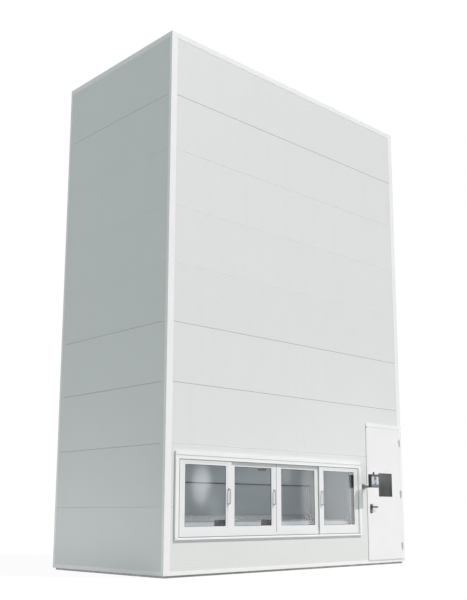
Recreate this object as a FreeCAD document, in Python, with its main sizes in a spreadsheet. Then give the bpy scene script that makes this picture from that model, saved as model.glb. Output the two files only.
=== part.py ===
import FreeCAD
import Part
import Sketcher
import os
import re

# Vertical lift module in an insulated panel enclosure.
# Millimetres, +Z up, +X along the front towards the door, +Y from the front into the depth.
# The origin is the middle of the enclosure's footprint, on the ground.

doc = FreeCAD.newDocument("vertical_lift_module")
sheet = doc.addObject("Spreadsheet::Sheet", "dim")

# Driving dimensions, each written once
sizes = {
    # clearances
    "seat_gap": 0.3,
    "butt_gap": 0.4,
    "slide_gap": 2,
    "run_gap": 0.05,
    # trays
    "tray_wide": 4100,
    "tray_deep": 857,
    "tray_high": 100,
    "tray_sheet": 2,
    "tray_side": 15,
    "tray_side_over": 26.5,
    "tray_overhang": 20,
    "slot_pitch": 450,
    "bay_rise": 260,
    "top_clear": 300,
    # wall panels, floor and roof
    "panel_low": 90,
    "panel_pitch": 1000,
    "panel_rows": 8,
    "top_row_high": 1057.4,
    "panel_thick": 100,
    "panel_skin": 1.2,
    "panel_groove": 7,
    "roof_panel_count": 6,
    "plinth_setback": 40,
    "plinth_beam": 60,
    "floor_panel_count": 5,
    "floor_skin": 3,
    "column_clear": 77.7,
    # trims
    "trim_thick": 2,
    "corner_leg_front": 128,
    "corner_leg_side": 60,
    "roof_trim_drop": 100,
    "roof_trim_cover": 120,
    "flashing_low": 36,
    "flashing_high": 100,
    # window, seen from the front; half widths are from the window's middle
    "window_margin": 200,
    "window_over": 200,
    "window_sill_drop": 503,
    "window_head_drop": 210,
    "casing_cover": 60,
    "casing_cover_high": 98,
    "casing_cover_low": 8,
    "casing_proud": 33,
    "casing_step_wide": 58,
    "casing_sill_band": 20,
    "casing_step_deep": 8,
    "casing_lip": 12,
    "track_side": 18,
    "track_rim": 13,
    "rail_thick": 3,
    "rail_rise": 70,
    "rail_drop": 15,
    "sash_thick": 20,
    "sash_overlap": 22,
    "sash_stop": 3,
    "stile_wide": 125,
    "bottom_rail_high": 183,
    "top_rail_high": 93,
    "glass_thick": 6,
    "glass_bite": 12,
    "bead_wide": 42,
    "bead_deep": 4,
    "front_sash_proud": 21,
    "pull_drop": 10,
    "pull_high": 256,
    "pull_wide": 26,
    "pull_proud": 46,
    "pull_bar": 11,
    "pull_foot": 26,
    "pull_corner": 14,
    # door
    "door_side": 30,
    "door_corner": 80,
    "door_wide": 1060,
    "door_low": 100,
    "door_head_drop": 400,
    "door_thick": 60,
    "door_proud": 12,
    "door_gap": 3,
    "door_skin": 2,
    "door_stop": 20,
    "door_head": 72,
    "threshold_high": 97,
    "vision_left": 332,
    "vision_wide": 440,
    "vision_low": 1320,
    "vision_high": 1782,
    "vision_setback": 6,
    "vision_thick": 8,
    "vision_rim": 12,
    "hinge_high": 130,
    "hinge_low_middle": 352,
    "hinge_mid_middle": 1386,
    "hinge_top_drop": 272,
    "hinge_knuckle": 11,
    "hinge_pin": 6,
    "hinge_leaf": 40,
    "hinge_plate": 3,
    "lever_backset": 78,
    "lever_height": 1115,
    "lever_long": 160,
    "lever_bar": 30,
    "lever_bar_thick": 13,
    "lever_reach": 46,
    "lever_neck": 9,
    "lever_plate_wide": 66,
    "lever_plate_drop": 116,
    "lever_plate_rise": 56,
    "lever_plate_thick": 12,
    "lock_block_wide": 120,
    "latch_throw": 12,
    "latch_long": 50,
    "latch_high": 16,
    "latch_thick": 12,
    # console
    "console_space": 220,
    "console_plate_wide": 80,
    "console_plate_high": 120,
    "console_plate_thick": 10,
    "console_fork": 8,
    "console_barrel": 24,
    "console_barrel_high": 51,
    "console_pivot_out": 45,
    "console_pivot_z": 1504,
    "console_pin": 7,
    "console_rise": 72,
    "console_reach": 158,
    "console_tube": 20,
    "console_eye": 16,
    "console_lug": 10,
    "console_tilt_pin": 6,
    "head_wide": 246,
    "head_high": 252,
    "head_low": 1483,
    "head_thick": 70,
    "head_corner": 10,
    "head_bezel_side": 12,
    "head_bezel_top": 40,
    "head_bezel_low": 20,
    "screen_thick": 4,
    "lamp_radius": 16,
    "lamp_high": 42,
    # steel frame
    "post_clear": 30,
    "post_wide": 60,
    "post_wall": 4,
    "beam_high": 120,
    "top_beam_high": 80,
    "beam_wall": 5,
    "frame_headroom": 67.4,
    "shaft_clear": 50,
    "rail_shelf": 13,
    "rail_plate": 12,
    # bay
    "liner_sheet": 2,
    "deck_drop": 98,
    "ceiling_rise": 82,
    "light_short": 150,
    "light_wide": 40,
    "light_high": 32,
    "light_inset": 90,
    "barrier_wide": 35,
    "barrier_deep": 30,
    "barrier_overlap": 40,
    "shutter_short": 18,
    "shutter_thick": 12,
    "shutter_high": 660,
    "shutter_rise": 10,
    "fascia_lap": 115,
    "sill_board": 110,
    "return_wide": 215,
    "guide_headroom": 15,
    "guide_grip": 16,
    "guide_wall": 5,
    # carriage; heights are from the tray's underside
    "cheek_clear": 10,
    "cheek_thick": 8,
    "cheek_drop": 120,
    "cheek_rise": 240,
    "cross_wide": 50,
    "cross_high": 80,
    "cross_inset": 75,
    "shoe_thick": 52,
    "shoe_high": 60,
    "shoe_run": 0.5,
    "clamp_low": 20,
    "clamp_high": 80,
    # lift drive
    "belt_clear": 10,
    "belt_wide": 40,
    "belt_thick": 5,
    "pulley_radius": 61,
    "flange_radius": 70,
    "flange_thick": 3,
    "shaft_drop": 70,
    "idler_rise": 90,
    "drive_shaft_radius": 20,
    "bearing_wide": 50,
    "bearing_half": 45,
    "gearbox_wide": 140,
    "gearbox_half": 80,
    "motor_radius": 70,
    "motor_long": 260,
    "idler_axle": 15,
    # tray transfer drive
    "transfer_clear": 3,
    "transfer_over": 17,
    "transfer_wide": 15,
    "transfer_belt": 3,
    "transfer_radius": 22,
    "transfer_z": 30,
    "transfer_shaft": 10,
    "transfer_motor_radius": 29,
    "transfer_motor_long": 160,
    "dog_thick": 12,
    "dog_high": 20,
    # control cabinet
    "cabinet_corner": 285,
    "cabinet_wide": 800,
    "cabinet_deep": 250,
    "cabinet_low": 900,
    "cabinet_high": 1000,
    "cabinet_sheet": 2,
    "cabinet_door_thick": 18,
    "cabinet_hinge": 8,
    "cabinet_hinge_pin": 4,
    "cabinet_hinge_high": 40,
    "cabinet_hinge_inset": 120,
    "cabinet_ear": 6,
    "switch_radius": 26,
    "switch_proud": 24,
}

# Positions and lengths worked out from the driving dimensions
derived = {
    # across, from the window's middle: tray, posts, window
    "tray_half": "tray_wide / 2",
    "post_near": "tray_half + post_clear",
    "post_far": "post_near + post_wide",
    "cut_half": "post_near + window_over",
    "track_half": "cut_half - track_side",
    "casing_half": "cut_half + casing_cover",
    "sash_wide": "(track_half - sash_stop - 1 + sash_overlap) / 2",
    # across, from the enclosure's middle
    "door_span": "door_side + door_wide + door_corner",
    "enclosure_width": "window_margin + 2 * casing_half + console_space + door_span",
    "half_x": "enclosure_width / 2",
    "face_x": "half_x - trim_thick - seat_gap",
    "inner_x": "face_x - panel_thick",
    "window_middle": "window_margin + casing_half - half_x",
    "window_left": "window_middle - cut_half",
    "window_right": "window_middle + cut_half",
    "door_left": "half_x - door_corner - door_wide",
    "door_right": "door_left + door_wide",
    "door_cut_left": "door_left - door_side",
    "frame_left": "door_cut_left + butt_gap",
    "console_x": "door_cut_left - console_space / 2",
    "cabinet_left": "half_x - cabinet_corner - cabinet_wide",
    # into the depth, from the shaft's middle
    "tray_side_half": "tray_deep / 2 + tray_side_over",
    "shaft_half": "tray_side_half + shaft_clear",
    "column_outer": "shaft_half + 2 * tray_side_half - tray_overhang",
    "tray_step": "column_outer - tray_side_half",
    "inner_y": "column_outer + column_clear",
    "face_y": "inner_y + panel_thick",
    "half_y": "face_y + seat_gap + trim_thick",
    # up, from the ground
    "plinth_top": "panel_low - seat_gap",
    "top_row_low": "panel_low + panel_rows * panel_pitch",
    "wall_top": "top_row_low + top_row_high",
    "roof_low": "wall_top + seat_gap",
    "enclosure_height": "roof_low + panel_thick + seat_gap + trim_thick",
    "cut_low": "panel_low + panel_pitch - window_sill_drop",
    "cut_high": "panel_low + 2 * panel_pitch - window_head_drop",
    "casing_low": "cut_low - casing_cover_low",
    "casing_high": "cut_high + casing_cover_high",
    "track_low": "cut_low + track_rim",
    "track_high": "cut_high - track_rim",
    "sash_low": "track_low + seat_gap",
    "sash_high": "track_high - butt_gap - sash_stop",
    "glass_low": "track_low + bottom_rail_high",
    "glass_high": "track_high - top_rail_high",
    "pull_middle": "(glass_low + glass_high) / 2 - pull_drop",
    "door_high": "panel_low + 3 * panel_pitch - door_head_drop",
    "frame_head": "door_high + door_gap + door_head",
    "hinge_top_middle": "door_high - hinge_top_drop",
    "beam_low": "panel_low",
    "beam_top": "panel_low + beam_high",
    "frame_top": "wall_top - frame_headroom",
    "top_beam_low": "frame_top - top_beam_high",
    "bay_level": "track_low + bay_rise",
    "first_upper": "bay_level + 3 * slot_pitch",
    "upper_slots": "floor((top_beam_low - top_clear - first_upper) / slot_pitch) + 1",
    # window and door, into the depth
    "casing_front": "face_y + casing_proud",
    "front_sash_y": "face_y + front_sash_proud",
    "rear_sash_y": "front_sash_y - sash_thick - 2 * slide_gap - rail_thick",
    "rail_y": "front_sash_y - sash_thick - slide_gap",
    "track_back": "rear_sash_y - sash_thick - slide_gap",
    "door_front": "face_y + door_proud",
    "door_back": "door_front - door_thick",
    "hinge_x": "door_right + door_gap / 2",
    "hinge_y": "door_front + hinge_knuckle + 1",
    "lever_x": "door_left + lever_backset",
    "lever_plate_low": "lever_height - lever_plate_drop",
    "lever_plate_high": "lever_height + lever_plate_rise",
    "latch_y": "door_front - door_thick / 2",
    # console
    "pivot_y": "face_y + console_pivot_out",
    "tilt_y": "pivot_y + console_reach",
    "tilt_z": "console_pivot_z + console_rise",
    "head_back": "tilt_y + console_eye + 4",
    "head_front": "head_back + head_thick",
    # trays' rails and bay
    "rail_near": "tray_half - rail_shelf",
    "liner_far": "post_near - seat_gap",
    "liner_near": "liner_far - liner_sheet",
    "liner_front": "inner_y - slide_gap",
    "liner_back": "shaft_half + post_wide + 5",
    "liner_low": "cut_low - 15",
    "deck_level": "bay_level - deck_drop",
    "ceiling_level": "cut_high + ceiling_rise",
    "light_half": "tray_half - light_short",
    "barrier_near": "post_far + belt_clear",
    "shutter_half": "tray_half - shutter_short",
    "shutter_back": "tray_side_half + shutter_short",
    "shutter_front": "shutter_back + shutter_thick",
    "guide_low": "bay_level + tray_high + 5",
    "shutter_low": "guide_low + shutter_rise",
    "fascia_low": "shutter_low + shutter_high - fascia_lap",
    "guide_high": "first_upper - guide_headroom",
    # carriage and drives
    "cheek_near": "post_near - cheek_clear",
    "cheek_far": "cheek_near + cheek_thick",
    "cheek_half": "shaft_half - cheek_clear",
    "cross_out": "tray_side_half - cross_inset",
    "ledge_half": "tray_side_half + 5",
    "belt_near": "post_far + belt_clear",
    "belt_far": "belt_near + belt_wide",
    "belt_inner": "pulley_radius + seat_gap",
    "belt_outer": "belt_inner + belt_thick",
    "drive_shaft_z": "top_beam_low - shaft_drop",
    "idler_z": "beam_top + idler_rise",
    "gearbox_near": "belt_far + flange_thick + 12",
    "transfer_near": "tray_half + transfer_clear",
    "transfer_far": "transfer_near + transfer_wide",
    "transfer_out": "tray_side_half + transfer_over",
    "transfer_inner": "transfer_radius + seat_gap",
    "transfer_outer": "transfer_inner + transfer_belt",
    "cabinet_back": "inner_y - seat_gap",
    "cabinet_front": "cabinet_back - cabinet_deep",
    "cabinet_door_back": "cabinet_front - seat_gap",
    "cabinet_door_front": "cabinet_door_back - cabinet_door_thick",
    "cabinet_hinge_x": "cabinet_left - cabinet_hinge - 1",
    "cabinet_hinge_y": "cabinet_door_back - cabinet_door_thick / 2",
}

for row, (name, number) in enumerate(sizes.items(), 1):
    sheet.set(f"A{row}", name)
    sheet.set(f"B{row}", str(number))
    sheet.setAlias(f"B{row}", name)
doc.recompute()

nodes = []


def linked(expression):
    """An expression in plain words, with each word turned into its cell or its own working."""

    def cell(match):
        word = match.group(0)
        if word in derived:
            return "(" + linked(derived[word]) + ")"
        return "dim." + word if word in sizes else word

    return re.sub(r"[a-z][a-z_]+", cell, str(expression))


def value(expression):
    return float(sheet.evalExpression(linked(expression)))


def bind(thing, property_name, expression):
    thing.setExpression(property_name, linked(expression))


def place(thing, x="0", y="0", z="0"):
    for axis, expression in zip("xyz", (x, y, z)):
        bind(thing, f"Placement.Base.{axis}", expression)


def keep(thing, label):
    """Name a finished sub-part and put it on the list of nodes."""
    thing.Label = label
    nodes.append(thing)
    return thing


# Sketch outlines


def rectangle(left, low, right, high):
    return [(left, low), (right, low), (right, high), (left, high)]


def circle(across, up, radius):
    return (across, up, radius)


def both_sides(near, low, far, high):
    """The same rectangle on the left and on the right of the middle."""
    return [rectangle(f"-({far})", low, f"-({near})", high), rectangle(near, low, far, high)]


def mirrored(loop):
    return [(f"-({across})", up) for across, up in reversed(loop)]


def cassette(face, back, low, high, groove_low=True, groove_high=True, skin="panel_skin"):
    """Section of a sheet-steel panel, bevelled at its outer edges: an outline and the hollow inside.

    face and back are places across the panel, low and high are places along it.
    """
    out = 1 if value(face) > value(back) else -1
    inner_groove = f"(panel_groove - 0.6 * {skin})"
    outline, hollow = [], []
    outline.append((back, low))
    hollow.append((f"{back} + {out} * {skin}", f"{low} + {skin}"))
    if groove_low:
        outline.append((f"{face} - {out} * panel_groove", low))
        outline.append((face, f"{low} + panel_groove"))
        hollow.append((f"{face} - {out} * ({skin} + {inner_groove})", f"{low} + {skin}"))
        hollow.append((f"{face} - {out} * {skin}", f"{low} + {skin} + {inner_groove}"))
    else:
        outline.append((face, low))
        hollow.append((f"{face} - {out} * {skin}", f"{low} + {skin}"))
    if groove_high:
        outline.append((face, f"{high} - panel_groove"))
        outline.append((f"{face} - {out} * panel_groove", high))
        hollow.append((f"{face} - {out} * {skin}", f"{high} - {skin} - {inner_groove}"))
        hollow.append((f"{face} - {out} * ({skin} + {inner_groove})", f"{high} - {skin}"))
    else:
        outline.append((face, high))
        hollow.append((f"{face} - {out} * {skin}", f"{high} - {skin}"))
    outline.append((back, high))
    hollow.append((f"{back} + {out} * {skin}", f"{high} - {skin}"))
    return [outline, hollow]


def tube(left, low, right, high, wall):
    """Section of a rectangular steel tube: the outside and the hollow."""
    inside = rectangle(f"{left} + {wall}", f"{low} + {wall}", f"{right} - {wall}", f"{high} - {wall}")
    return [rectangle(left, low, right, high), inside]


# Bodies made from sketches


def new_body(label=None, x="0", y="0", z="0"):
    body = doc.addObject("PartDesign::Body", "body")
    body.AllowCompound = True
    place(body, x, y, z)
    if label:
        keep(body, label)
    return body


def origin_feature(body, role):
    return [f for f in body.Origin.OriginFeatures if f.Role == role][0]


def sketch_on(body, plane, loops, start):
    """A sketch of closed loops, each point held by its distances from the body's origin."""
    sketch = body.newObject("Sketcher::SketchObject", "outline")
    sketch.AttachmentSupport = [(origin_feature(body, plane + "_Plane"), "")]
    sketch.MapMode = "FlatFace"
    bind(sketch, "AttachmentOffset.Base.z", start)
    for loop in loops:
        first = sketch.GeometryCount
        if isinstance(loop, tuple):
            across, up, radius = loop
            middle = FreeCAD.Vector(value(across), value(up), 0)
            sketch.addGeometry(Part.Circle(middle, FreeCAD.Vector(0, 0, 1), value(radius)), False)
            number = sketch.addConstraint(Sketcher.Constraint("Radius", first, value(radius)))
            bind(sketch, f"Constraints[{number}]", radius)
            held = [(first, 3, across, up)]
        else:
            points = [FreeCAD.Vector(value(across), value(up), 0) for across, up in loop]
            for point, following in zip(points, points[1:] + points[:1]):
                sketch.addGeometry(Part.LineSegment(point, following), False)
            for n in range(len(loop)):
                after = first + (n + 1) % len(loop)
                sketch.addConstraint(Sketcher.Constraint("Coincident", first + n, 2, after, 1))
            held = [(first + n, 1, across, up) for n, (across, up) in enumerate(loop)]
        for edge, end, across, up in held:
            for kind, expression in (("DistanceX", across), ("DistanceY", up)):
                constraint = Sketcher.Constraint(kind, edge, end, value(expression))
                number = sketch.addConstraint(constraint)
                bind(sketch, f"Constraints[{number}]", expression)
    return sketch


def pad(body, plane, loops, start, length):
    """Raise loops from start, along the plane's normal: +Z for XY, +X for YZ and -Y for XZ."""
    feature = body.newObject("PartDesign::Pad", "pad")
    feature.Profile = sketch_on(body, plane, loops, start)
    bind(feature, "Length", length)
    doc.recompute()
    return feature


def pocket(body, plane, loops, start, length):
    """Cut loops from start, against the plane's normal, and stop if nothing was cut."""
    before = body.Shape.Volume
    feature = body.newObject("PartDesign::Pocket", "pocket")
    feature.Profile = sketch_on(body, plane, loops, start)
    bind(feature, "Length", length)
    doc.recompute()
    if body.Shape.Volume >= before:
        raise RuntimeError(f"a pocket of {body.Label} cut nothing")
    return feature


def repeat(body, features, axis, spacing, count):
    pattern = body.newObject("PartDesign::LinearPattern", "row")
    pattern.Originals = features
    pattern.Direction = (origin_feature(body, axis + "_Axis"), [""])
    pattern.Mode = "Spacing"
    bind(pattern, "Offset", spacing)
    bind(pattern, "Occurrences", count)
    body.Tip = pattern
    doc.recompute()
    return pattern


# Solids made from primitives


def block(x0, y0, z0, x1, y1, z1):
    box = doc.addObject("Part::Box", "block")
    bind(box, "Length", f"({x1}) - ({x0})")
    bind(box, "Width", f"({y1}) - ({y0})")
    bind(box, "Height", f"({z1}) - ({z0})")
    place(box, x0, y0, z0)
    return box


turns = {
    "x": FreeCAD.Rotation(FreeCAD.Vector(0, 1, 0), 90),
    "y": FreeCAD.Rotation(FreeCAD.Vector(1, 0, 0), -90),
    "z": FreeCAD.Rotation(),
}


def rod(axis, x, y, z, radius, length):
    """A cylinder that starts at a point and runs along an axis."""
    cylinder = doc.addObject("Part::Cylinder", "rod")
    bind(cylinder, "Radius", radius)
    bind(cylinder, "Height", length)
    cylinder.Placement.Rotation = turns[axis]
    place(cylinder, x, y, z)
    return cylinder


def cut(base, *tools):
    tool = tools[0] if len(tools) == 1 else fuse(*tools)
    result = doc.addObject("Part::Cut", "cut")
    result.Base = base
    result.Tool = tool
    return result


def fuse(*pieces):
    result = doc.addObject("Part::MultiFuse", "joined")
    result.Shapes = list(pieces)
    return result


def group(*pieces):
    result = doc.addObject("Part::Compound", "set")
    result.Links = list(pieces)
    return result


sides = (-1, 1)


def span(side, near, far):
    """The low and high ends of a stretch on one side of the middle."""
    if side > 0:
        return f"({near})", f"({far})"
    return f"-({far})", f"-({near})"


def make_base():
    """Steel plinth beams under the walls, and the floor panels between them."""
    out_x, out_y = "half_x - plinth_setback", "half_y - plinth_setback"
    in_x, in_y = f"{out_x} - plinth_beam", f"{out_y} - plinth_beam"
    beams = []
    for side in sides:
        low, high = span(side, in_y, out_y)
        beams.append(block(f"-({out_x})", low, "0", out_x, high, "plinth_top"))
        low, high = span(side, in_x, out_x)
        beams.append(
            block(low, f"-({in_y}) + butt_gap", "0", high, f"{in_y} - butt_gap", "plinth_top")
        )
    keep(group(*beams), "plinth_frame")

    reach = f"({in_x} - butt_gap)"
    pitch = f"(2 * {reach} / floor_panel_count)"
    floor = new_body("floor_panels")
    section = tube(
        f"-{reach}", "0", f"-{reach} + {pitch} - butt_gap", "plinth_top", "floor_skin"
    )
    length = f"2 * ({in_y} - butt_gap)"
    panel = pad(floor, "XZ", section, f"-({in_y} - butt_gap)", length)
    repeat(floor, [panel], "X", pitch, "floor_panel_count")


def make_walls():
    """Horizontal steel panels in rows; where an opening is, shorter panels meet round it."""
    row_high = "panel_low + panel_pitch - butt_gap"

    def cassette_piece(body, sign, ends, heights, groove_low=True, groove_high=True):
        """A panel in the front or rear wall: the tube and a sheet that closes each end."""
        left, right = ends
        section = cassette(f"{sign}face_y", f"{sign}inner_y", *heights, groove_low, groove_high)
        outline = section[:1]
        return [
            pad(body, "YZ", section, left, f"({right}) - ({left})"),
            pad(body, "YZ", outline, left, "panel_skin"),
            pad(body, "YZ", outline, f"({right}) - panel_skin", "panel_skin"),
        ]

    front = new_body("front_wall_panels")
    second = "panel_low + panel_pitch"
    third = "panel_low + 2 * panel_pitch"
    fourth = "panel_low + 3 * panel_pitch"
    door_cut = "door_cut_left - butt_gap"
    over_third = f"{fourth} - butt_gap"
    wide = ("-face_x", "face_x")
    left = ("-face_x", "window_left - butt_gap")
    right = ("window_right + butt_gap", door_cut)
    middle = ("window_left", "window_right")
    for part in (left, right):
        cassette_piece(front, "-", part, ("panel_low", f"{second} - butt_gap"))
        cassette_piece(front, "-", part, (second, f"{third} - butt_gap"))
    under_window = ("panel_low", "cut_low - butt_gap")
    over_window = ("cut_high + butt_gap", f"{third} - butt_gap")
    over_door = ("frame_head + butt_gap", over_third)
    cassette_piece(front, "-", middle, under_window, groove_high=False)
    cassette_piece(front, "-", middle, over_window, groove_low=False)
    cassette_piece(front, "-", ("-face_x", door_cut), (third, over_third))
    cassette_piece(front, "-", ("door_cut_left", "face_x"), over_door, groove_low=False)
    row = cassette_piece(front, "-", wide, (fourth, f"{fourth} + panel_pitch - butt_gap"))
    repeat(front, row, "Z", "panel_pitch", "panel_rows - 3")
    cassette_piece(front, "-", wide, ("top_row_low", "wall_top"), groove_high=False)

    rear = new_body("rear_wall_panels")
    row = cassette_piece(rear, "", wide, ("panel_low", row_high))
    repeat(rear, row, "Z", "panel_pitch", "panel_rows")
    cassette_piece(rear, "", wide, ("top_row_low", "wall_top"), groove_high=False)

    side = new_body("side_wall_panels")
    reach = "(inner_y - butt_gap)"
    rows = []
    for sign in ("-", ""):
        rows += cassette(f"{sign}face_x", f"{sign}inner_x", "panel_low", row_high)
    row = pad(side, "XZ", rows, f"-{reach}", f"2 * {reach}")
    repeat(side, [row], "Z", "panel_pitch", "panel_rows")
    tops = []
    for sign in ("-", ""):
        tops += cassette(
            f"{sign}face_x", f"{sign}inner_x", "top_row_low", "wall_top", groove_high=False
        )
    pad(side, "XZ", tops, f"-{reach}", f"2 * {reach}")


def make_roof():
    """Roof panels laid from front to back, with bevelled long edges."""
    pitch = "(2 * face_x / roof_panel_count)"
    roof_top = "(roof_low + panel_thick)"
    edge = f"(-face_x + {pitch} - butt_gap)"
    outline = [
        ("-face_x", "roof_low"),
        (edge, "roof_low"),
        (edge, f"{roof_top} - panel_groove"),
        (f"{edge} - panel_groove", roof_top),
        ("-face_x + panel_groove", roof_top),
        ("-face_x", f"{roof_top} - panel_groove"),
    ]
    bevel = "(panel_groove - 0.6 * panel_skin)"
    low, high = "roof_low + panel_skin", f"{roof_top} - panel_skin"
    left, right = "-face_x + panel_skin", f"{edge} - panel_skin"
    hollow = [
        (left, low),
        (right, low),
        (right, f"{high} - {bevel}"),
        (f"{right} - {bevel}", high),
        (f"{left} + {bevel}", high),
        (left, f"{high} - {bevel}"),
    ]
    roof = new_body("roof_panels")
    panel = pad(roof, "XZ", [outline, hollow], "-face_y", "2 * face_y")
    repeat(roof, [panel], "X", pitch, "roof_panel_count")


def make_trims():
    """Folded sheet trims: the corners, the roof edges and the foot of the walls."""
    trims = new_body("edge_trims")
    x_in, y_in = "(half_x - trim_thick)", "(half_y - trim_thick)"
    corner = [
        ("half_x", "-half_y"),
        ("half_x", "-half_y + corner_leg_side"),
        (x_in, "-half_y + corner_leg_side"),
        (x_in, f"-{y_in}"),
        ("half_x - corner_leg_front", f"-{y_in}"),
        ("half_x - corner_leg_front", "-half_y"),
    ]
    rear = [(across, f"-({up})") for across, up in reversed(corner)]
    high = "(enclosure_height - roof_trim_drop - butt_gap)"
    full = [mirrored(corner), mirrored(rear), rear]
    pad(trims, "XY", full, "flashing_low", f"{high} - flashing_low")
    above_door = "frame_head + butt_gap"
    pad(trims, "XY", [corner], above_door, f"{high} - ({above_door})")

    top, under = "enclosure_height", "(enclosure_height - trim_thick)"
    drop = "(enclosure_height - roof_trim_drop)"
    cover_x = "(half_x - roof_trim_cover)"
    for side in sides:
        low, high = span(side, y_in, "half_y")
        leg = rectangle(low, drop, high, top)
        pad(trims, "YZ", [leg], "-half_x", "enclosure_width")
        low, high = span(side, "half_y - roof_trim_cover", "half_y - trim_thick / 2")
        plate = rectangle(low, under, high, top)
        pad(trims, "YZ", [plate], f"-({cover_x} - butt_gap)", f"2 * ({cover_x} - butt_gap)")
    reach = f"({y_in} - butt_gap)"
    pad(trims, "XZ", both_sides(x_in, drop, "half_x", top), f"-{reach}", f"2 * {reach}")
    plates = both_sides(cover_x, under, "half_x - trim_thick / 2", top)
    pad(trims, "XZ", plates, f"-{reach}", f"2 * {reach}")

    start = "half_x - corner_leg_front - butt_gap"
    rear_run = rectangle(f"-({start})", y_in, start, "half_y")
    front_run = rectangle(f"-({start})", "-half_y", "door_cut_left - butt_gap", f"-{y_in}")
    door_run = rectangle("door_cut_left", "-half_y", "half_x", f"-{y_in}")
    tall = "flashing_high - flashing_low"
    pad(trims, "XY", [rear_run, front_run], "flashing_low", tall)
    pad(trims, "XY", [door_run], "flashing_low", "panel_low - seat_gap - flashing_low")
    side_reach = "(half_y - corner_leg_side - butt_gap)"
    runs = both_sides(x_in, f"-{side_reach}", "half_x", side_reach)
    pad(trims, "XY", runs, "flashing_low", tall)


def make_window_frame():
    """The stepped casing on the wall's face and the two tracks inside the wall's opening."""
    wall, front = "-face_y - seat_gap", "-casing_front"
    step_y = "-casing_front + casing_step_deep"
    lip_y = "-front_sash_y - slide_gap / 2"
    head = [
        (wall, "casing_high"),
        (front, "casing_high"),
        (front, "casing_high - casing_step_wide"),
        (step_y, "casing_high - casing_step_wide"),
        (step_y, "track_high - casing_lip"),
        (lip_y, "track_high - casing_lip"),
        (lip_y, "track_high"),
        (wall, "track_high"),
    ]
    sill = [
        (wall, "casing_low"),
        (front, "casing_low"),
        (front, "casing_low + casing_sill_band"),
        (step_y, "casing_low + casing_sill_band"),
        (step_y, "track_low + casing_lip"),
        (lip_y, "track_low + casing_lip"),
        (lip_y, "track_low"),
        (wall, "track_low"),
    ]
    casing = new_body("window_casing", x="window_middle")
    pad(casing, "YZ", [head, sill], "-casing_half", "2 * casing_half")
    jamb = [
        ("casing_half", wall),
        ("track_half", wall),
        ("track_half", step_y),
        ("casing_half - casing_step_wide", step_y),
        ("casing_half - casing_step_wide", front),
        ("casing_half", front),
    ]
    low = "(track_low + casing_lip + butt_gap)"
    high = "(track_high - casing_lip - butt_gap)"
    pad(casing, "XY", [jamb, mirrored(jamb)], low, f"{high} - {low}")

    near, back = "-rail_y", "-track_back + rail_thick"
    rail_back = "-rail_y + rail_thick"
    slot_back = "-track_back"
    base = "cut_low + butt_gap"
    lower = [
        (near, base),
        (back, base),
        (back, "track_low + rail_rise / 2"),
        (slot_back, "track_low + rail_rise / 2"),
        (slot_back, "track_low"),
        (rail_back, "track_low"),
        (rail_back, "track_low + rail_rise"),
        (near, "track_low + rail_rise"),
    ]
    ceiling = "cut_high - butt_gap"
    upper = [
        (near, ceiling),
        (back, ceiling),
        (back, "track_high - rail_drop"),
        (slot_back, "track_high - rail_drop"),
        (slot_back, "track_high"),
        (rail_back, "track_high"),
        (rail_back, "track_high - rail_drop"),
        (near, "track_high - rail_drop"),
    ]
    tracks = new_body("window_tracks", x="window_middle")
    reach = "(cut_half - butt_gap)"
    pad(tracks, "YZ", [lower, upper], f"-{reach}", f"2 * {reach}")
    low = "(track_low + rail_rise + butt_gap)"
    high = "(track_high - rail_drop - butt_gap)"
    pad(tracks, "XY", both_sides("track_half", near, reach, back), low, f"{high} - {low}")


def make_sash(name, left, face):
    """One sliding sash: a frame with a bead step and a groove, and the pane in the groove."""
    right = f"{left} + sash_wide"
    opening = rectangle(
        f"{left} + stile_wide", "glass_low", f"{right} - stile_wide", "glass_high"
    )
    bead = rectangle(
        f"{left} + stile_wide - bead_wide",
        "glass_low - bead_wide",
        f"{right} - stile_wide + bead_wide",
        "glass_high + bead_wide",
    )
    bite = "(glass_bite + 1)"
    groove = rectangle(
        f"{left} + stile_wide - {bite}",
        f"glass_low - {bite}",
        f"{right} - stile_wide + {bite}",
        f"glass_high + {bite}",
    )
    frame = new_body(f"sash_{name}", x="window_middle")
    outer = rectangle(left, "sash_low", right, "sash_high")
    pad(frame, "XZ", [outer, opening], f"{face} - sash_thick", "sash_thick")
    pocket(frame, "XZ", [bead], face, "bead_deep")
    middle = f"({face} - sash_thick / 2)"
    groove_wide = "(glass_thick + 2 * seat_gap)"
    pocket(frame, "XZ", [groove], f"{middle} + {groove_wide} / 2", groove_wide)

    x0 = f"window_middle + {left} + stile_wide - glass_bite"
    x1 = f"window_middle + {right} - stile_wide + glass_bite"
    y0, y1 = f"-{middle} - glass_thick / 2", f"-{middle} + glass_thick / 2"
    pane = block(x0, y0, "glass_low - glass_bite", x1, y1, "glass_high + glass_bite")
    keep(pane, f"pane_{name}")


def make_pull(name, middle, face):
    """A bow handle on a stile, with bevelled corners."""
    low, high = "(pull_middle - pull_high / 2)", "(pull_middle + pull_high / 2)"
    seat = f"-({face}) - seat_gap"
    out = f"({seat} - pull_proud)"
    bow = [
        (seat, low),
        (f"{out} + pull_corner", low),
        (out, f"{low} + pull_corner"),
        (out, f"{high} - pull_corner"),
        (f"{out} + pull_corner", high),
        (seat, high),
        (seat, f"{high} - pull_foot"),
        (f"{out} + pull_bar", f"{high} - pull_foot"),
        (f"{out} + pull_bar", f"{low} + pull_foot"),
        (seat, f"{low} + pull_foot"),
    ]
    pull = new_body(f"pull_{name}", x="window_middle")
    pad(pull, "YZ", [bow], f"{middle} - pull_wide / 2", "pull_wide")


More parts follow.
